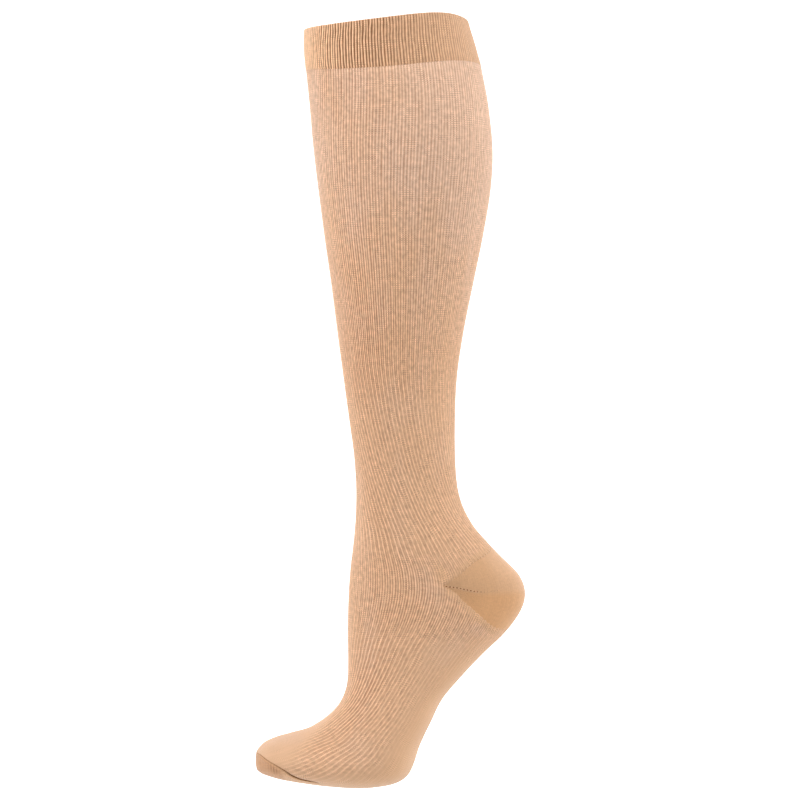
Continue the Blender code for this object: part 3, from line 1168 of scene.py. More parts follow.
@dataclass
class LegAndFoot:
    """The circular-knit tube from the knee band to the toe seam, with its opening for the heel pocket.

    The rows of points above the heel bend from level rings into the pocket's upper edge, and those
    below it run from the pocket's lower edge to the toe seam, as the courses of the knit do. In front
    of the gore's tips, both meet in one ring.

    A range is the two places or levels between which a feature comes in. Places run from 0 in front to
    1/2 behind.
    """

    leg: Leg
    wall: float = 1.0 * MM
    rows_above: int = 72
    rows_below: int = 60
    row_share: int = 2
    bend_power: int = 4
    inside_clearness: float = 0.5
    # The ribs' relief, in metres and in shares of a wale's own size.
    single_rib: float = 0.22 * MM
    paired_rib: float = 0.24 * MM
    rib_unevenness: float = 0.4
    rib_seed: int = 11
    wandering: float = 0.14
    wander_seed: int = 5
    heel_flatness: float = 0.97
    # The dip beside the toe seam: its depth, its reach in levels, and where it is deep and where it ends.
    seam_dip: float = 0.55 * MM
    dip_reach: float = 0.16
    dip_least: float = 0.35
    dip_range: Range = (0.26, 0.30)
    dip_end: Range = (0.31, 0.36)
    # How clear the ribs are, and what is taken off it in each part.
    most_clear: float = 1.15
    faint_behind: float = 0.15
    faint_calf: float = 0.15
    faint_foot: float = 0.1
    faint_front: float = 0.3
    faint_sole: float = 0.8
    faint_toes: float = 0.94
    front_range: Range = (0.04, 0.115)
    back_range: Range = (0.16, 0.38)
    # The sole, the plain top of the toes and the smooth parts by the heel pocket. Those above its tips
    # are given by how far their middle lies above and behind the tip, each with a reach.
    sole_start: float = 0.33
    sole_widening: float = 0.08
    sole_edge: float = 0.13
    toes_run: float = 5.6
    toes_range: Range = (-0.7, 0.6)
    toes_past: float = 0.8
    heel_reach: Range = (0.03, 0.34)
    heel_start: Range = (0.0, 0.06)
    above_tip: Range = (0.5, 0.75)
    behind_tip: Range = (0.006, 0.03)
    above_share: float = 0.75
    # The painted shade in the grooves, where it goes over to the sides' contrast; then the dye: the pale
    # patches, and the gold.
    side_range: Range = (0.14, 0.24)
    low_range: Range = (0.25, 0.31)
    foot_range: Range = (15.0, 15.9)
    low_loss: float = 0.45
    calf_rose: float = 0.82
    behind_rose: float = 0.33
    rose_range: Range = (0.2, 0.38)
    rose_margin: float = 0.5
    patch_rose: float = 0.6
    sole_rose: float = 0.4
    sole_gold: float = 0.6
    toe_gold: float = 0.4
    heel_gold: float = 0.7
    heel_paleness: float = 0.65

    @property
    def joined(self) -> int:
        """The outside's first row below the heel."""
        return self.rows_above + 1

    @property
    def inner_joined(self) -> int:
        """The inside's first row below the heel."""
        return self.rows_above // self.row_share + 1

    def cut_edge(self, seam: SeamLine, place: Array) -> Array:
        """The level of the tube's edge along a heel seam."""
        return self.leg.heel_edge(seam, place) + self.leg.serration(place)

    def levels_above(self, place: Array) -> Array:
        """Levels from the band to the heel: even steps to the tips' level, and behind, less v^4 of what
        the pocket's upper edge lies above it.

        Args:
            place: Places of the knit.

        Returns:
            The levels, row by row.
        """
        v = np.linspace(0, 1, self.rows_above + 1)[:, None]
        higher = self.leg.tip_level - self.cut_edge(self.leg.heel_upper, place)
        return self.leg.tip_level * v - higher[None, :] * v**self.bend_power

    def levels_below(self, place: Array) -> Array:
        """Levels in even steps from the pocket's lower edge to the toe seam.

        Args:
            place: Places of the knit.

        Returns:
            The levels, row by row.
        """
        v = np.linspace(0, 1, self.rows_below + 1)[:, None]
        edge = self.cut_edge(self.leg.heel_lower, place)
        return edge[None, :] + (self.leg.toe_edge(place) - edge)[None, :] * v

    def sole(self, place: Array, level: Array) -> Array:
        """1 along the middle of the sole, falling to 0 at the sides of the foot.

        Args:
            place: Places of the knit.
            level: Levels, which fit the places.

        Returns:
            The shares.
        """
        wider = self.sole_widening * smoothstep(level_of("heel under"), level_of("ball upper"), level)
        under = smoothstep(0, self.sole_edge, self.leg.folded(place, level) - (self.sole_start - wider))
        return under * smoothstep(level_of("heel under"), level_of("arch"), level)

    def toes(self, place: Array, level: Array) -> Array:
        """1 on the plain top of the toes, from 0 where its ribs start: in front at the instep, and at the
        sides beside the toes, as the square root of the share of the way from the front to the side."""
        end = level_of("instep") + self.toes_run * np.sqrt(self.leg.folded(place, level) / 0.25)
        return smoothstep(*self.toes_range, level - np.minimum(end, level_of("toes") + self.toes_past))

    def rib_value(self, place: Array, level: Array) -> Array:
        """How clear the wales are: clearest on the front half of the calf, fainter on its very front and
        on the sole, and nearly gone on the top of the toes.

        Args:
            place: Places of the knit.
            level: Levels, which fit the places.

        Returns:
            The clearness, about 0 to 1.
        """
        near = self.leg.folded(place, level)
        calf = 1 - smoothstep(level_of("shin lower"), level_of("ankle"), level)
        behind = (self.faint_behind + self.faint_calf * calf) * smoothstep(*self.back_range, near)
        before = self.faint_front * (1 - smoothstep(*self.front_range, near))
        clear = self.most_clear - behind - self.faint_foot * (1 - calf) - before
        clear = clear * (1 - self.faint_sole * self.sole(place, level))
        return clear * (1 - self.faint_toes * self.toes(place, level))

    def groove_shade_strength(self, place: Array, level: Array) -> Array:
        """How dark the grooves' painted shade is for their depth: one table in front and one at the sides,
        and paler beside the sole.

        Args:
            place: Places of the knit.
            level: Levels, which fit the places.

        Returns:
            The factor on the clearness.
        """
        near = self.leg.folded(place, level)
        front, side = read_off(FRONT_GROOVE_SHADE, level), read_off(SIDE_GROOVE_SHADE, level)
        low = smoothstep(*self.low_range, near) * smoothstep(*self.foot_range, level)
        return (front + (side - front) * smoothstep(*self.side_range, near)) * (1 - self.low_loss * low)

    def beside_heel(self, place: Array, level: Array) -> Array:
        """1 on the heel pocket's edges, falling to 0 over a third of a level away from them, and nearly
        as much above its front tips.

        Args:
            place: Places of the knit.
            level: Levels, which fit the places.

        Returns:
            Values from 0 to 1.
        """
        leg = self.leg
        seams = (leg.heel_upper, leg.heel_lower)
        away = np.minimum(*(np.abs(level - leg.heel_edge(seam, place)) for seam in seams))
        edges = (1 - smoothstep(*self.heel_reach, away)) * smoothstep(*self.heel_start, leg.behind(place))
        back, wide = self.behind_tip
        higher, tall = self.above_tip
        by_tip = bump(leg.tip_place + back, wide, from_front(place))
        above = bump(leg.tip_level - higher, tall, level)
        return np.maximum(edges, self.above_share * by_tip * above)

    def pair_value(self, level: Array) -> Array:
        """The share of the relief that stands out on every second wale: most at the ankle and foot."""
        return read_off(PAIRED_RIBS, level)

    def rose_value(self, points: Array, place: Array, level: Array) -> Array:
        """Where the knit is stretched paler and pinker: over the calf, and beside the gore's tips.

        Args:
            points: The cloth's points, in metres.
            place: Places of the knit.
            level: Levels, which fit the places.

        Returns:
            The "rose" values.
        """
        x, z = points[..., 0] / MM, points[..., 2] / MM
        margin = self.rose_margin
        behind = self.behind_rose * smoothstep(*self.rose_range, self.leg.folded(place, level))
        calf = 1 - smoothstep(level_of("calf") - margin, level_of("shin lower") + margin, level)
        patches = sum(bump(at_x, wide, x) * bump(at_z, tall, z) for at_x, wide, at_z, tall in PALE_PATCHES)
        stretched = (self.calf_rose + behind) * calf + self.patch_rose * patches
        return stretched - self.sole_rose * self.sole(place, level)

    def relief(self, place: Array, level: Array) -> Array:
        """How far the cloth stands out of the skin.

        It is the sum of a cosine of each wale and a cosine of every second wale, whose sizes wander a
        little from wale to wale. Beside the toe seam the cloth dips, by the bell exp(-d^2).

        Args:
            place: Places of the knit.
            level: Levels, which fit the places.

        Returns:
            The heights, in metres.
        """
        wale = place * self.leg.count
        uneven = 1 + self.rib_unevenness * Unevenness(self.rib_seed, self.leg.count).at(wale, level)
        pair = self.pair_value(level)
        single = self.single_rib * (1 - pair) * np.cos(TURN * wale)
        paired = self.paired_rib * pair * np.cos(math.pi * wale)
        ribs = (single + paired) * uneven * self.rib_value(place, level)
        near = self.leg.folded(place, level)
        d = np.clip((self.leg.toe_edge(place) - level) / self.dip_reach, 0, 9)
        deeper = self.dip_least + (1 - self.dip_least) * smoothstep(*self.dip_range, near)
        dip = self.seam_dip * deeper * np.exp(-(d**2)) * (1 - smoothstep(*self.dip_end, near))
        return ribs * (1 - self.heel_flatness * self.beside_heel(place, level)) - dip

    def drift(self, place: Array, level: Array) -> Array:
        """The wales' small sideways wandering, as a place: up to a seventh of a wale."""
        count = self.leg.count
        return self.wandering / count * Unevenness(self.wander_seed, count).at(place * count, level)

    def build(self) -> bpy.types.Object:
        """Builds and dresses the tube.

        Returns:
            The piece, which rides on the body and stands for the tube's node.
        """
        leg, share, rows = self.leg, self.leg.columns_a_wale, self.inner_rows()
        place = leg.places()[:-1]
        level = np.vstack([self.levels_above(place), self.levels_below(place)])
        column = np.broadcast_to(place, level.shape)
        outer = leg.wales.cloth(column + self.drift(column, level), level, self.relief(column, level))
        inner_level, inner_place = level[rows][:, ::share], column[rows][:, ::share]
        inner = leg.wales.cloth(inner_place, inner_level, -self.wall)
        ids, inner_ids = numbered(level.shape), numbered(inner_level.shape, level.size)
        number = np.arange(leg.columns)
        front = np.minimum(number, leg.columns - number) <= leg.tip_column
        for grid, row, ahead in ((ids, self.joined, front), (inner_ids, self.inner_joined, front[::share])):
            grid[row, ahead] = grid[row - 1, ahead]
        points = both_sides(outer, inner).reshape(-1, 3)
        values = self.values(points, both_sides(column, inner_place), both_sides(level, inner_level))
        values["rib"][level.size :] *= self.inside_clearness
        piece = build_mesh("leg_and_foot", points, self.patches(ids, inner_ids, outer), values)
        piece.data.materials.append(TUBE_KNIT.material())
        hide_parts("leg_foot_tube")
        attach(piece, BODY)
        return piece

    def inner_rows(self) -> Array:
        """The rows that the wall's inside keeps: every second one of each stretch.

        Returns:
            Their numbers.
        """
        above = np.arange(0, self.rows_above + 1, self.row_share)
        below = np.arange(0, self.rows_below + 1, self.row_share) + self.joined
        return np.concatenate([above, below])

    def values(self, points: Array, place: Array, level: Array) -> dict[str, Array]:
        """The finish's values at each point: the ribs' painted shade and highlight, pairing, stretch and
        gold.

        Args:
            points: The cloth's points, in metres.
            place: Places of the knit.
            level: Levels, which fit the places.

        Returns:
            The values, by their names.
        """
        toes = smoothstep(level_of("ball"), level_of("toes"), level)
        by_heel = self.beside_heel(place, level)
        clear = self.rib_value(place, level) * self.groove_shade_strength(place, level)
        gold = self.sole_gold * self.sole(place, level) - self.toe_gold * toes + self.heel_gold * by_heel
        return {
            "rib": clear * (1 - self.heel_paleness * by_heel),
            "pair": self.pair_value(level),
            "rose": self.rose_value(points, place, level) * (1 - by_heel),
            "gold": np.clip(gold, 0, 1),
        }

    def patches(self, ids: Array, inner_ids: Array, outer: Array) -> list[Patch]:
        """The outside, the inside, and the cut edges at the band, the heel and the toe seam.

        Args:
            ids: The outside's point numbers.
            inner_ids: The inside's.
            outer: The outside's points, which give the courses their lengths.

        Returns:
            The patches of the closed sheet.
        """
        leg, rows, share = self.leg, self.inner_rows(), self.leg.columns_a_wale
        low, inner_low = self.joined, self.inner_joined
        ids, inner_ids = closed_round(ids), closed_round(inner_ids)
        run = run_along(outer)
        run[low:] -= run[low] - run[low - 1]
        wale = np.broadcast_to(leg.places() * leg.count, ids.shape)
        course = np.broadcast_to(closed_round(run).mean(axis=1, keepdims=True) / leg.course_pitch, ids.shape)
        inner_wale, inner_course = wale[rows][:, ::share], course[rows][:, ::share]
        back = slice(leg.tip_column, leg.columns - leg.tip_column + 1)
        inner_back = slice(leg.tip_wale, leg.count - leg.tip_wale + 1)
        heel_wale, heel_course = wale[0, back], course[low, 0]
        return [
            grid_patch(ids[:low], wale[:low], course[:low], (0, 0.50, 1, 0.98)),
            grid_patch(ids[low:], wale[low:], course[low:], (0, 0.12, 1, 0.49)),
            grid_patch(inner_ids[:inner_low], inner_wale[:inner_low], inner_course[:inner_low],
                       (0, 0.05, 0.49, 0.11), inside=True),
            grid_patch(inner_ids[inner_low:], inner_wale[inner_low:], inner_course[inner_low:],
                       (0.51, 0.05, 1, 0.11), inside=True),
            rim_patch(ids[0], inner_ids[0], wale[0], 0.0, (0, 0.985, 1, 0.998), lower=False),
            rim_patch(ids[low - 1, back], inner_ids[inner_low - 1, inner_back], heel_wale, heel_course,
                      (0, 0.035, 1, 0.042), lower=True),
            rim_patch(ids[low, back], inner_ids[inner_low, inner_back], heel_wale, heel_course,
                      (0, 0.022, 1, 0.029), lower=False),
            rim_patch(ids[-1], inner_ids[-1], wale[0], course[-1, 0], (0, 0.004, 1, 0.012), lower=True),
        ]  # fmt: skip


# Places round the skin, and how clear the band's ribs are there, in relief and in painted groove shade.
BAND_CLEARNESS = (
    (0, 0.55), (0.05, 0.65), (0.11, 1.4), (0.16, 1.5), (0.21, 1.4), (0.255, 1.0), (0.32, 0.8), (0.42, 0.5),
    (0.5, 0.42),
)  # fmt: skip


@dataclass
class KneeBand:
    """The ribbed welt, knitted double: ribs outside, a rounded fold at the rim, and a plain lining.

    Its cross-section is one closed loop, carried round the leg: up the outside, over the fold, down
    the lining and round the hem, which is the lower edge.
    """

    leg: Leg
    wall: float = 1.7 * MM
    proud: float = 0.20 * MM
    rib_height: float = 0.72 * MM
    rib_power: float = 0.7
    rib_unevenness: float = 0.4
    rib_seed: int = 21
    most_clear: float = 1.15
    wandering: float = 0.16
    wander_seed: int = 31
    columns_a_rib: int = 6
    rows_up: int = 18
    fold_steps: int = 8
    fold_ribs: float = 0.8
    hem_start: float = 1.86
    hem_sinking: float = 0.75
    hem_flattening: float = 0.55
    hem_inset: float = 0.1 * MM
    hem_roundness: float = 0.25
    hem_ribs: float = 0.4
    lining_rib: float = 0.15
    paired: float = 0.12
    gold_steps: tuple[tuple[float, Range], ...] = ((0.65, (0.14, 0.27)), (0.35, (0.25, 0.34)))
    slope_step: float = 0.02

    def section(self) -> tuple[Array, Array, Array, Array]:
        """The cross-section's loop.

        Returns:
            For each point of the loop its level on the band, how far it stands out of the skin, how far
            it is lifted along the leg, and its share of the ribs' height.
        """
        half, last = self.wall / 2, self.leg.band.last
        up = np.linspace(last, 0, self.rows_up + 1)
        fold = np.linspace(0, math.pi, self.fold_steps + 1)[1:-1]
        down = np.linspace(0, last, self.rows_up // 2 + 1)
        hem = np.linspace(math.pi, TURN, self.fold_steps + 1)[1:-1]
        middle = self.proud - half
        sinking = smoothstep(self.hem_start, last, up)
        level = np.concatenate([up, np.zeros_like(fold), down, np.full_like(hem, last)])
        out = np.concatenate([
            self.proud * (1 - self.hem_sinking * sinking), middle + half * np.cos(fold),
            np.full_like(down, middle - half), middle - self.hem_inset + half * np.cos(hem),
        ])  # fmt: skip
        lift = np.concatenate([
            np.zeros_like(up), half * np.sin(fold),
            np.zeros_like(down), self.hem_roundness * half * np.sin(hem),
        ])  # fmt: skip
        ribs = np.concatenate([
            1 - self.hem_flattening * sinking, np.cos(fold / 2) ** 2 * self.fold_ribs,
            np.zeros_like(down), self.hem_ribs * (1 + np.cos(hem)) / 2,
        ])  # fmt: skip
        return level, out, lift, ribs

    def clearness(self, place: Array, level: Array) -> Array:
        """How clear the ribs are: most in front, where they lie open, and least behind the knee."""
        return read_off(BAND_CLEARNESS, from_front(self.leg.band_wales.settled(place, level)))

    def ridge(self, place: Array, level: Array) -> Array:
        """The ribs' height from -1/2 to 1/2: a broad crest at each wale and a narrow groove between.

        It is |cos| of half a turn a wale, to a power below 1, times a size that wanders by rib.

        Args:
            place: Places of the knit.
            level: Levels, which fit the places.

        Returns:
            The heights, as shares of the ribs' height.
        """
        wale = place * self.leg.count
        sizes = Unevenness(self.rib_seed, self.leg.count, level_step=0.45)
        clear = np.minimum(self.clearness(place, level), self.most_clear)
        crest = np.abs(np.cos(math.pi * wale)) ** self.rib_power - 0.5
        return crest * (1 + self.rib_unevenness * sizes.at(wale, level)) * clear

    def build(self) -> bpy.types.Object:
        """Builds and dresses the band.

        Returns:
            The piece, which rides on the body and stands for the band's node.
        """
        leg = self.leg
        count = leg.count * self.columns_a_rib
        level, out, lift, ribs = (part[:, None] for part in self.section())
        place = (np.arange(count) / count)[None, :]
        levels = np.broadcast_to(level, (len(level), count))
        wander = Unevenness(self.wander_seed, leg.count, level_step=0.5)
        moved = place + self.wandering / leg.count * wander.at(place * leg.count, levels)
        height = self.rib_height * self.ridge(place, levels)
        points = leg.band_wales.cloth(moved, levels, out + ribs * height)
        points = points + self.up(moved, level) * lift[..., None]
        ids = numbered(points.shape[:2])
        ring = closed_round(np.vstack([ids, ids[:1]]))[::-1]
        wale = np.broadcast_to(np.arange(count + 1) / self.columns_a_rib, ring.shape)
        run = run_along(np.vstack([points, points[:1]])).mean(axis=1)
        course = np.broadcast_to(run[::-1, None] / leg.course_pitch, ring.shape)
        patch = grid_patch(ring, wale, course, (0, 0, 1, 1))
        gold = sum(share * smoothstep(*reach, from_front(place)) for share, reach in self.gold_steps)
        values = {
            # The "rib" value sets the painted shade in the grooves and the painted highlight on the crests.
            "rib": np.where(ribs > 0, self.clearness(place, levels), self.lining_rib).ravel(),
            "pair": np.full(levels.size, self.paired),
            "rose": np.zeros(levels.size),
            "gold": np.broadcast_to(gold, levels.shape).ravel(),
        }
        piece = build_mesh("knee_band", points.reshape(-1, 3), [patch], values)
        piece.data.materials.append(BAND_KNIT.material())
        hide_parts("cuff_welt")
        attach(piece, BODY)
        return piece

    def up(self, place: Array, level: Array) -> Array:
        """Unit vectors up the leg, along the skin.

        Args:
            place: Places of the knit.
            level: Levels, which fit the places.

        Returns:
            The vectors.
        """
        step, band = self.slope_step, self.leg.band
        level = np.broadcast_to(np.clip(level, step, band.last - step), place.shape)
        turn = self.leg.band_wales.turn_of(self.leg.band_wales.settled(place, level), level)
        way = band.points(turn, level - step) - band.points(turn, level + step)
        return way / np.linalg.norm(way, axis=-1, keepdims=True)


@dataclass
class HeelPocket:
    """The plain-knit pocket at the heel: an upper and a lower half that meet on the gore line.

    A number across is 0 at the upper edge, 1 on the gore line and 2 at the lower edge. Below 0 and
    above 2 the pocket is tucked under the tube. A range is between two numbers across, or between two
    shares of the way from the gore's tips to the back of the heel.
    """

    leg: Leg
    wall: float = 1.1 * MM
    rows_half: int = 26
    course_share: float = 1.6
    overlap: float = 0.06
    tuck: float = 0.045
    tuck_share: float = 0.05
    tuck_depth: float = 0.35 * MM
    tuck_range: Range = (0, 0.04)
    crown: float = 0.30 * MM
    crown_power: float = 1.2
    crown_range: Range = (0, 0.25)
    sunk: float = 0.03 * MM
    gore_groove: float = 0.18 * MM
    gore_reach: float = 0.09
    gore_start: Range = (0.0, 0.1)
    gore_fading: float = 0.7
    gore_end: Range = (0.35, 0.8)
    rib: float = 0.3
    paired: float = 0.2
    rose_gain: float = 1.1
    rose_range: Range = (0.35, 0.85)
    least_rose: float = -0.3
    least_gold: float = 0.15
    gold_half: Range = (0.95, 1.25)
    gold_tip: float = 0.4
    gold_start: Range = (0.05, 0.3)
    gold_fading: float = 0.4
    gold_end: Range = (0.5, 0.95)

    def surface(self, across: Array, behind: Array) -> Array:
        """How far the pocket stands out of the skin: a crown, which is a power of a sine over its whole
        height, a narrow groove on the gore line, and a step down where it is tucked under.

        Args:
            across: Numbers across the pocket.
            behind: 0 at the gore's tips to 1 at the back of the heel.

        Returns:
            The heights, in metres.
        """
        arch = np.abs(np.sin(math.pi * np.clip(across, 0, 2) / 2)) ** self.crown_power
        raised = self.crown * arch * smoothstep(*self.crown_range, behind)
        fading = 1 - self.gore_fading * smoothstep(*self.gore_end, behind)
        line = bump(1.0, self.gore_reach, across) * smoothstep(*self.gore_start, behind) * fading
        under = np.clip(np.abs(across - 1) - 1, 0, self.tuck_share) / self.tuck_share
        return raised - self.sunk - self.gore_groove * line - self.tuck_depth * under

    def rows(self, place: Array) -> tuple[Array, Array]:
        """The levels of the pocket's rows, in even steps from each edge to the gore line. At both edges
        the pocket runs on a little way under the tube, with one more row that is tucked in.

        Args:
            place: The columns' places.

        Returns:
            The levels and the numbers across, a row for each.
        """
        seams = (self.leg.heel_upper, self.leg.gore, self.leg.heel_lower)
        upper, gore, lower = (self.leg.heel_edge(seam, place) for seam in seams)
        grow = smoothstep(*self.tuck_range, self.leg.behind(place))
        upper, lower = upper - self.overlap * grow, lower + self.overlap * grow
        v = np.linspace(0, 1, self.rows_half + 1)[:, None]
        above = upper * (1 - v) + gore * v
        below = gore * (1 - v) + lower * v
        level = np.vstack([upper - self.tuck * grow, above, below[1:], lower + self.tuck * grow])
        across = np.vstack([[[-self.tuck_share]], v, 1 + v[1:], [[2 + self.tuck_share]]])
        return level, np.broadcast_to(across, level.shape)

    def gold(self, across: Array, behind: Array) -> Array:
        """How golden the knit is: most in the lower half, paler at the front tips and at the back.

        Args:
            across: Numbers across the pocket.
            behind: 0 at the gore's tips to 1 at the back of the heel.

        Returns:
            The gold's strength.
        """
        before = self.gold_tip + (1 - self.gold_tip) * smoothstep(*self.gold_start, behind)
        half_way = before * (1 - self.gold_fading * smoothstep(*self.gold_end, behind))
        return self.least_gold + (1 - self.least_gold) * smoothstep(*self.gold_half, across) * half_way

    def build(self) -> bpy.types.Object:
        """Builds and dresses the pocket.

        Returns:
            The piece, which rides on the body and stands for the pocket's node.
        """
        leg = self.leg
        place = leg.places()[leg.tip_column : leg.columns - leg.tip_column + 1]
        level, across = self.rows(place)
        column = np.broadcast_to(place, level.shape)
        behind = leg.behind(column)
        outer = leg.wales.cloth(column, level, self.surface(across, behind))
        kept = (slice(None, None, 2), slice(None, None, leg.columns_a_wale))
        inner = leg.wales.cloth(column[kept], level[kept], -self.wall)
        ids, inner_ids = numbered(level.shape), numbered(inner.shape[:2], level.size)
        for grid in (ids, inner_ids):
            grid[:, 0] = grid[0, 0]
            grid[:, -1] = grid[0, -1]
        wale, course = column * leg.count, across * self.rows_half * self.course_share
        end = float(course[-1, 0])
        patches = [
            grid_patch(ids, wale, course, (0, 0.2, 1, 0.98)),
            grid_patch(inner_ids, wale[kept], course[kept], (0, 0.06, 1, 0.19), inside=True),
            rim_patch(ids[0], inner_ids[0], wale[0], 0.0, (0, 0.985, 1, 0.998), lower=False),
            rim_patch(ids[-1], inner_ids[-1], wale[0], end, (0, 0.01, 1, 0.05), lower=True),
        ]
        points = both_sides(outer, inner).reshape(-1, 3)
        spread = both_sides(behind, behind[kept])
        values = {
            "rib": np.full(len(points), self.rib),
            "pair": np.full(len(points), self.paired),
            "rose": self.rose_gain * smoothstep(*self.rose_range, spread) + self.least_rose,
            "gold": self.gold(both_sides(across, across[kept]), spread),
        }
        piece = build_mesh("heel_pouch", points, patches, values)
        piece.data.materials.append(POCKET_KNIT.material())
        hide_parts("heel_pocket")
        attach(piece, BODY)
        return piece


@dataclass
class ToeUnderside:
    """The plain part under the toes, gathered a little along the toe seam and rounded over the tip.

    A range is between two places round the skin, from 0 in front to 1/2 behind.
    """

    leg: Leg
    wall: float = 1.1 * MM
    rows: int = 44
    columns_a_wale: int = 6
    bulge: float = 0.7 * MM
    bulge_step: float = 1.6 * MM
    bulge_in_front: float = 0.3
    bulge_range: Range = (0.08, 0.2)
    bulge_end: Range = (0.30, 0.38)
    flat_end: Range = (0.75, 1.0)
    gather: float = 0.3 * MM
    gather_pitch: float = 1.95 * MM
    gathers_middle: float = -81.0 * MM
    gathers_reach: float = 4.5 * MM
    gathers_below: float = 3.4 * MM
    gathers_height: float = 3.8 * MM
    gathers_start: Range = (0.1, 0.18)
    least_gathered: float = 0.15
    rib: float = 0.35
    paired: float = 0.2
    # Painted highlight on the roll below the seam, towards the sole's end and on the gathers' folds, and
    # painted shade between the folds.
    seam_roll_highlight: float = 0.8
    sole_end_highlight: float = 0.7
    sole_range: Range = (-77, -72)
    highlight_base: float = -0.1
    fold_highlight: float = 0.8
    fold_shade: float = 1.2
    shade_base: float = 0.15

    def gathered(self, near: Array, points: Array) -> Array:
        """How strong the gathers are: most at the front corners of the toes, a little below the seam, and
        none in front.

        Args:
            near: Places round the skin, from 0 in front to 1/2 behind.
            points: The cloth's points, in metres.

        Returns:
            Values from 0 to 1.
        """
        x, z = points[..., 0], points[..., 2]
        below = read_off(TOE_SEAM, x / MM) * MM - z
        least = self.least_gathered
        bunched = least + (1 - least) * bump(self.gathers_middle, self.gathers_reach, x)
        beside = smoothstep(*self.gathers_start, near)
        return beside * bunched * bump(self.gathers_below, self.gathers_height, below)

    def build(self) -> bpy.types.Object:
        """Builds and dresses the toe.

        Rows run from the toe seam to the toe point. Just inside the seam the cloth swells: its height is
        d exp(1 - d) of the way d down from the seam, counted in steps of the bulge, and the roll carries a
        painted highlight that also runs towards the sole's end. Small gathers, a cosine of X, run down the
        sides just below the seam, with painted shade between their folds and a painted highlight on them.

        Returns:
            The piece, which rides on the body and stands for the toe's node.
        """
        leg = self.leg
        count = leg.count * self.columns_a_wale
        place = np.arange(count) / count
        edge = leg.toe_edge(place)
        v = np.linspace(0, 1, self.rows + 1)[:, None]
        level = edge[None] + (leg.leg.end - edge)[None] * v
        column = np.broadcast_to(place, level.shape)
        flat = leg.wales.cloth(column, level)
        run = run_along(flat)
        near = leg.folded(column, level)
        ahead = self.bulge_in_front
        beside = 1 - smoothstep(*self.bulge_end, near)
        beside = beside * (ahead + (1 - ahead) * smoothstep(*self.bulge_range, near))
        d = run / self.bulge_step
        swell = self.bulge * d * np.exp(1 - d) * beside
        gathered = self.gathered(near, flat)
        fold = -np.cos(TURN * (flat[..., 0] - self.gathers_middle) / self.gather_pitch)
        ending = 1 - smoothstep(*self.flat_end, v)
        outer = leg.wales.cloth(column, level, (swell + self.gather * fold * gathered) * ending)
        kept = (slice(None, None, 2), slice(None, None, 2))
        inner = leg.wales.cloth(column[kept], level[kept], -self.wall)
        ids, inner_ids = numbered(level.shape), numbered(inner.shape[:2], level.size)
        for grid in (ids, inner_ids):
            grid[-1] = grid[-1, 0]
        ids, inner_ids = closed_round(ids), closed_round(inner_ids)
        wale = np.broadcast_to(np.arange(count + 1) / self.columns_a_wale, ids.shape)
        course = np.broadcast_to(run.mean(axis=1, keepdims=True) / leg.course_pitch, ids.shape)
        patches = [
            grid_patch(ids, wale, course, (0, 0.2, 1, 0.98)),
            grid_patch(inner_ids, wale[kept], course[kept], (0, 0.05, 1, 0.19), inside=True),
            rim_patch(ids[0], inner_ids[0], wale[0], 0.0, (0, 0.985, 1, 0.998), lower=False),
        ]
        points = both_sides(outer, inner).reshape(-1, 3)
        # Painted highlight on the roll and the gathers' folds, and painted shade between the folds.
        back = smoothstep(*self.sole_range, flat[..., 0] / MM)
        light = self.seam_roll_highlight * np.exp(-d) + self.sole_end_highlight * back + self.highlight_base
        light = light + self.fold_highlight * np.clip(fold, 0, 1) * gathered
        shade = np.clip((self.shade_base - self.fold_shade * fold) * gathered, 0, 1)
        values = {
            "rib": np.full(len(points), self.rib),
            "pair": np.full(len(points), self.paired),
            # On the toe, "rose" carries the painted highlight and "gold" the painted shade.
            "rose": both_sides(light, light[kept]),
            "gold": both_sides(shade, shade[kept]),
        }
        piece = build_mesh("toe_underside", points, patches, values)
        piece.data.materials.append(TOE_KNIT.material())
        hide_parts("toe_cap")
        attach(piece, BODY)
        return piece


def swept(
    name: str,
    path: Array,
    normal: Array,
    radius: Array,
    sides: int = 8,
    twist: float = 0.5 * MM,
) -> bpy.types.Object:
    """A thread along a path, closed at both ends.

    The cross-section is a circle in the plane of the path's normal and its side vector, which is the
    cross product of the path's direction and the normal.

    Args:
        name: The piece's name.
        path: The path's points, in metres.
        normal: Unit vectors out of the cloth, one for each point.
        radius: The thread's radius at each point. It is near 0 at both ends.
        sides: The number of points round the thread.
        twist: The length of one course in the knit map.

    Returns:
        The piece.
    """
    way = np.gradient(path, axis=0)
    way /= np.linalg.norm(way, axis=1, keepdims=True)
    side = np.cross(way, normal)
    side /= np.linalg.norm(side, axis=1, keepdims=True)
    angle = (np.arange(sides) * TURN / sides)[:, None]
    ring = normal[:, None] * np.cos(angle) + side[:, None] * np.sin(angle)
    points = path[:, None] + ring * radius[:, None, None]
    ids = numbered((len(path), sides))
    ids[0], ids[-1] = ids[0, 0], ids[-1, 0]
    ids = closed_round(ids)
    across = np.broadcast_to(np.arange(sides + 1) / sides, ids.shape)
    along = np.broadcast_to((run_along(path) / twist)[:, None], ids.shape)
    return build_mesh(name, points.reshape(-1, 3), [grid_patch(ids, across, along, (0, 0, 1, 1))])


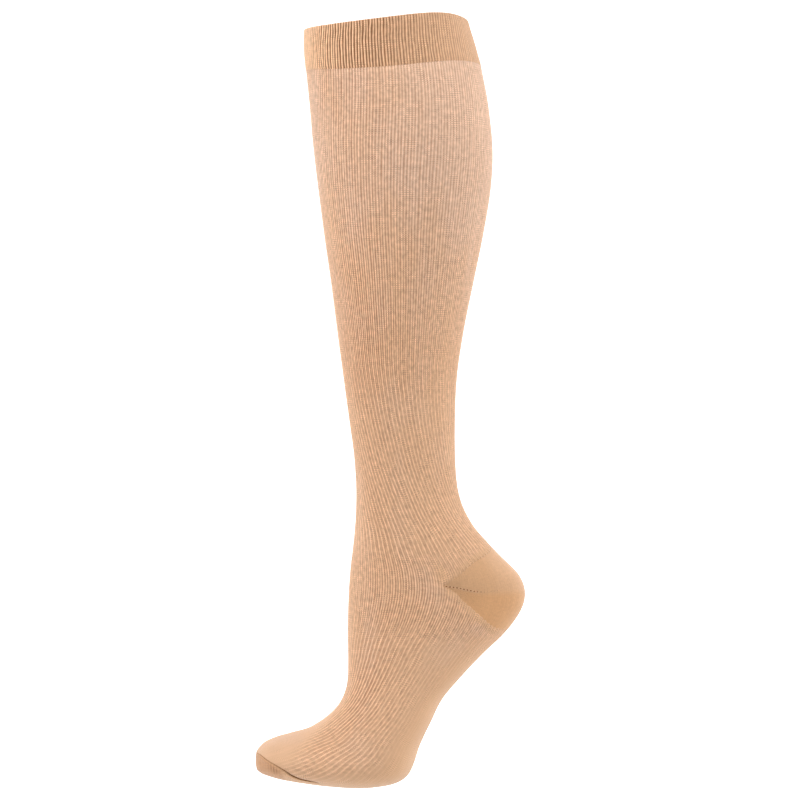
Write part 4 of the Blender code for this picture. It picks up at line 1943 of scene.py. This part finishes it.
@dataclass
class ToeSeam:
    """The linked toe seam: a ridge of loops along the edge, and a dark thread in the crease above it,
    which is partly a real thread and partly painted shade of the crease.

    The thread is thin in front of the toes, and thickest near its ends, at the sides, where it paints the
    crease's deepest shade. A range is between two shares of the way from the front of the toes to the
    thread's end.
    """

    leg: Leg
    steps: int = 900
    loop_pitch: float = 1.25 * MM
    ridge_radius: float = 0.36 * MM
    ridge_reach: float = 0.35
    ridge_out: float = -0.05 * MM
    loop_swell: float = 0.22
    taper: float = 0.05
    thread_radius: float = 0.22 * MM
    thread_reach: float = 0.333
    thread_above: float = 0.06
    thread_out: float = -0.12 * MM
    crease_shade_gain: float = 0.5
    thick_range: Range = (0.82, 0.9)
    thread_end: Range = (0.965, 1)
    dash: float = 0.25

    def path(self, reach: float, above: float, out: float) -> tuple[Array, Array, Array]:
        """The seam's path from the near side, round the front of the toes, to the far side.

        Args:
            reach: The place on the skin at which the path starts and ends.
            above: How far the path lies up the foot from the seam, in levels.
            out: How far it lies out of the skin, in metres.

        Returns:
            The points, the normals there, and the share of the way from 0 to 1.
        """
        share = np.linspace(0, 1, self.steps)
        place = reach * (1 - 2 * share)
        level = self.leg.toe.level_at(place) - above
        turn = self.leg.wales.turn_of(place, level)
        normal = self.leg.leg.normals(turn, level)
        return self.leg.leg.points(turn, level) + normal * out, normal, share

    def build(self) -> list[bpy.types.Object]:
        """Builds and dresses the ridge and the thread.

        Both radii go up and down with a cosine of the way along the ridge, once for each loop.

        Returns:
            The two pieces.
        """
        path, normal, share = self.path(self.ridge_reach, 0.0, self.ridge_out)
        wave = np.cos(TURN * run_along(path) / self.loop_pitch)
        ends = smoothstep(0, self.taper, np.minimum(share, 1 - share))
        radius = self.ridge_radius * (1 + self.loop_swell * wave) * ends + TINY
        ridge = swept("toe_seam_ridge", path, normal, radius)
        ridge.data.materials.append(SEAM_LOOPS.material())
        path, normal, share = self.path(self.thread_reach, self.thread_above, self.thread_out)
        # The thread thickens towards its ends to paint the crease's shade there.
        aside = np.abs(1 - 2 * share)
        thickness = 1 + self.crease_shade_gain * smoothstep(*self.thick_range, aside)
        thickness = thickness * (1 - smoothstep(*self.thread_end, aside))
        radius = self.thread_radius * (1 - self.dash + self.dash * wave) * thickness + TINY
        thread = swept("toe_seam_thread_and_shade", path, normal, radius)
        thread.data.materials.append(SEAM_THREAD_AND_SHADE.material())
        for piece in (ridge, thread):
            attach(piece, BODY)
        return [ridge, thread]


@dataclass
class GoreLine:
    """The gore line on each side of the heel pocket: a row of small eyelets, each in a ring of thread.

    The eyelets get smaller towards the back of the heel.
    """

    leg: Leg
    pocket: HeelPocket
    line: Range = (0.004, 0.95)
    line_points: int = 500
    eyelets: int = 17
    spacing: float = 2.5 * MM
    first: float = 2.2 * MM
    fading: float = 0.7
    fading_range: Range = (7, 13)
    hole_radius: float = 0.84 * MM
    hole_length: float = 1.1
    hole_height: float = 0.85
    thread_radius: float = 0.21 * MM
    raised: float = 0.12 * MM
    sides: int = 14
    ring_sides: int = 6
    cap_shares: tuple[float, ...] = (1.0, 0.6, 0.0)
    cap_heights: tuple[float, ...] = (0.0, 0.06 * MM, 0.1 * MM)

    def centres(self) -> tuple[Array, Array, Array]:
        """Where the eyelets lie: even steps along the gore line on both sides.

        Returns:
            The eyelets' centres, the skin's normals there, and the line's direction.
        """
        behind = np.linspace(*self.line, self.line_points)
        place = self.leg.tip_place + behind * (0.5 - self.leg.tip_place)
        level = self.leg.heel_edge(self.leg.gore, place)
        turn = self.leg.wales.turn_of(place, level)
        normal = self.leg.leg.normals(turn, level)
        height = self.pocket.surface(np.ones_like(behind), behind)
        points = self.leg.leg.points(turn, level) + normal * height[:, None]
        run, at = run_along(points), np.arange(self.eyelets) * self.spacing + self.first
        near = [
            np.stack([np.interp(at, run, part[:, axis]) for axis in range(3)], -1)
            for part in (points, normal, np.gradient(points, axis=0))
        ]
        centre, normal, way = (np.concatenate([part, part * np.array([1, -1, 1])]) for part in near)
        normal /= np.linalg.norm(normal, axis=1, keepdims=True)
        way /= np.linalg.norm(way, axis=1, keepdims=True)
        return centre, normal, way

    def build(self) -> list[bpy.types.Object]:
        """Builds and dresses the eyelets.

        A ring is a torus round the eyelet's centre: its big circle lies in the cloth, and its small one
        is the thread. The hole in it is a low dark cap of painted shade, because the pocket is not cut there.

        Returns:
            The rings and the holes' painted shade, as two pieces.
        """
        centre, normal, way = self.centres()
        side = np.cross(normal, way)
        smaller = self.fading * smoothstep(*self.fading_range, np.arange(self.eyelets))
        fade = np.tile(1 - smaller, 2)[:, None, None, None]
        big, tube = self.hole_radius * fade, self.thread_radius * fade
        around = (np.arange(self.sides) * TURN / self.sides)[:, None]
        long, high = self.hole_length * np.cos(around), self.hole_height * np.sin(around)
        radial = way[:, None] * long + side[:, None] * high
        small = (np.arange(self.ring_sides) * TURN / self.ring_sides)[:, None, None]
        out = normal[:, None, None]
        base = (centre + normal * self.raised)[:, None, None]
        rings = base + radial[:, None] * (big + tube * np.cos(small)) + out * tube * np.sin(small)
        loops = self.repeated("gore_eyelet_rings", rings, closed=True)
        loops.data.materials.append(EYELET_LOOPS.material())
        # A low dark cap in each eyelet paints the shade of its hole.
        share, height = (np.array(part)[:, None, None] for part in (self.cap_shares, self.cap_heights))
        caps = base + radial[:, None] * big * share + out * height
        holes = self.repeated("gore_eyelet_hole_shade", caps, closed=False)
        holes.data.materials.append(EYELET_SHADE.material())
        for piece in (loops, holes):
            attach(piece, BODY)
        return [loops, holes]

    def repeated(self, name: str, grids: Array, closed: bool) -> bpy.types.Object:
        """One mesh from many small grids of points.

        Args:
            name: The piece's name.
            grids: For each eyelet, rows and columns of points. The columns run round the eyelet.
            closed: True where the last row joins the first.

        Returns:
            The piece.
        """
        ids = numbered(grids.shape[:3])
        if closed:
            ids = np.concatenate([ids, ids[:, :1]], axis=1)
        else:
            ids[:, -1] = ids[:, -1, :1]
        faces = quads(np.concatenate([ids, ids[:, :, :1]], axis=2))
        corner = np.broadcast_to(np.array([[0, 1], [0, 0], [1, 0], [1, 1]]), (len(faces), 4, 2))
        flat = corner * 0.9 / len(faces) + (np.arange(len(faces)) / len(faces))[:, None, None]
        return build_mesh(name, grids.reshape(-1, 3), [Patch(faces, corner, flat)])


class Softbox(NamedTuple):
    """A soft oblong light that faces the middle of the leg, with its place and size in metres."""

    name: str
    place: Point
    size: Range
    watts: float
    warmth: Colour


WINDOW = (1.0, 0.98, 0.95)
CEILING = (1.0, 0.99, 0.97)
SOFTBOXES = (
    Softbox("left_softbox", (-1.5, -0.5, 0.1), (1.0, 1.8), 11.9, WINDOW),
    Softbox("right_softbox", (1.5, -0.3, 0.0), (1.0, 1.8), 12.4, WINDOW),
    Softbox("left_edge_light", (-1.3, 1.0, -0.3), (0.8, 1.8), 9.5, WINDOW),
    Softbox("right_edge_light", (1.3, 1.0, -0.3), (0.8, 1.8), 9.5, WINDOW),
    Softbox("top_softbox", (-0.1, -0.5, 1.1), (1.8, 1.4), 19.0, CEILING),
    Softbox("front_fill", (-0.5, -2.6, 0.5), (1.6, 1.2), 3.0, CEILING),
)


@dataclass
class Studio:
    """A plain pale floor that curves up into a backdrop, soft lights, and the camera."""

    floor_z: float = -0.95
    half_width: float = 4.0
    strips: int = 8
    front_y: float = -4.0
    flat_y: float = -1.0
    bend_y: float = 1.6
    bend_radius: float = 0.9
    bend_points: int = 13
    height: float = 3.8
    pale: Colour = (0.80, 0.80, 0.80)
    paler: Colour = (0.82, 0.82, 0.82)
    grain: Point = (3, 3, 3)
    roughness: float = 0.9
    glow: float = 0.8
    glow_range: Range = (0.0, 0.1)
    air: float = 0.42
    lights: tuple[Softbox, ...] = SOFTBOXES
    aim: Point = (0, 0, -0.25)
    camera_place: Point = (0.0071, -2.2, -0.2492)
    lens: float = 139.4
    sensor: float = 36
    far_clip: float = 30

    def backdrop(self) -> bpy.types.Object:
        """The floor and backdrop: a straight run, a quarter circle and a straight rise, carried along X.

        The rise glows, so that it is as white as paper behind the stocking.

        Returns:
            The stage, which isn't part of the stocking.
        """
        bend = np.linspace(0, math.pi / 2, self.bend_points)
        end = self.bend_y + self.bend_radius
        curve = self.bend_y + self.bend_radius * np.sin(bend)
        y = np.concatenate([[self.front_y, self.flat_y], curve, [end]])
        z = np.concatenate([[0.0, 0.0], self.bend_radius * (1 - np.cos(bend)), [self.height]])
        x = np.linspace(-self.half_width, self.half_width, self.strips + 1)
        grid = np.stack(np.broadcast_arrays(x[:, None], y, z + self.floor_z), -1)
        wide, along = np.meshgrid(y, x)
        patch = grid_patch(numbered(grid.shape[:2]), wide, along, (0, 0, 1, 1), inside=True)
        glow = self.glow * smoothstep(*self.glow_range, grid[..., 2] - self.floor_z)
        stage = build_mesh("pale_floor", grid.reshape(-1, 3), [patch], {"glow": glow.ravel()})
        desk = NodeDesk.new("pale_floor")
        desk.shade({
            "Base Color": desk.mix(desk.noise(self.grain, 1.0), self.pale, self.paler),
            "Roughness": self.roughness,
            "Emission Color": (1, 1, 1),
            "Emission Strength": desk.value("glow"),
        })  # fmt: skip
        stage.data.materials.append(desk.material)
        return stage

    def light(self, softbox: Softbox) -> None:
        """Hangs one of the lights and turns it to the leg.

        Args:
            softbox: The light.
        """
        lamp = bpy.data.lights.new(softbox.name, "AREA")
        lamp.shape = "RECTANGLE"
        lamp.size, lamp.size_y = softbox.size
        lamp.energy = softbox.watts
        lamp.color = softbox.warmth
        holder = bpy.data.objects.new(softbox.name, lamp)
        holder.location = softbox.place
        way = Vector(self.aim) - Vector(softbox.place)
        holder.rotation_euler = way.to_track_quat("-Z", "Y").to_euler()
        bpy.context.scene.collection.objects.link(holder)

    def build(self) -> None:
        """Sets the stage, the lights, the world and the camera."""
        self.backdrop()
        for softbox in self.lights:
            self.light(softbox)
        scene = bpy.context.scene
        scene.world = bpy.data.worlds.new("studio_world")
        scene.world.use_nodes = True
        background = scene.world.node_tree.nodes["Background"]
        background.inputs["Color"].default_value = (1, 1, 1, 1)
        background.inputs["Strength"].default_value = self.air
        scene.view_settings.view_transform = "Standard"
        lens = bpy.data.cameras.new("camera")
        lens.lens = self.lens
        lens.sensor_width = self.sensor
        lens.clip_end = self.far_clip
        camera = bpy.data.objects.new("camera", lens)
        camera.location = self.camera_place
        camera.rotation_euler = (math.pi / 2, 0, 0)
        scene.collection.objects.link(camera)
        scene.camera = camera


def corners(box: Sequence[Sequence[float]]) -> list[list[float]]:
    """A box's corners as plain lists of numbers."""
    return [[float(value) for value in corner] for corner in box]


def main() -> None:
    """Builds the stocking's pieces in order, then the studio."""
    logging.basicConfig(level=logging.INFO, format="%(name)s: %(message)s")
    leg = Leg()
    pocket = HeelPocket(leg)
    pieces: list[bpy.types.Object] = [
        KneeBand(leg).build(),
        LegAndFoot(leg).build(),
        pocket.build(),
        ToeUnderside(leg).build(),
        *ToeSeam(leg).build(),
        *GoreLine(leg, pocket).build(),
    ]
    for piece in pieces:
        LOG.info("%s: %d faces", piece.name, len(piece.data.polygons))
    Studio().build()
    bpy.context.view_layer.update()


if __name__ == "__main__":
    main()
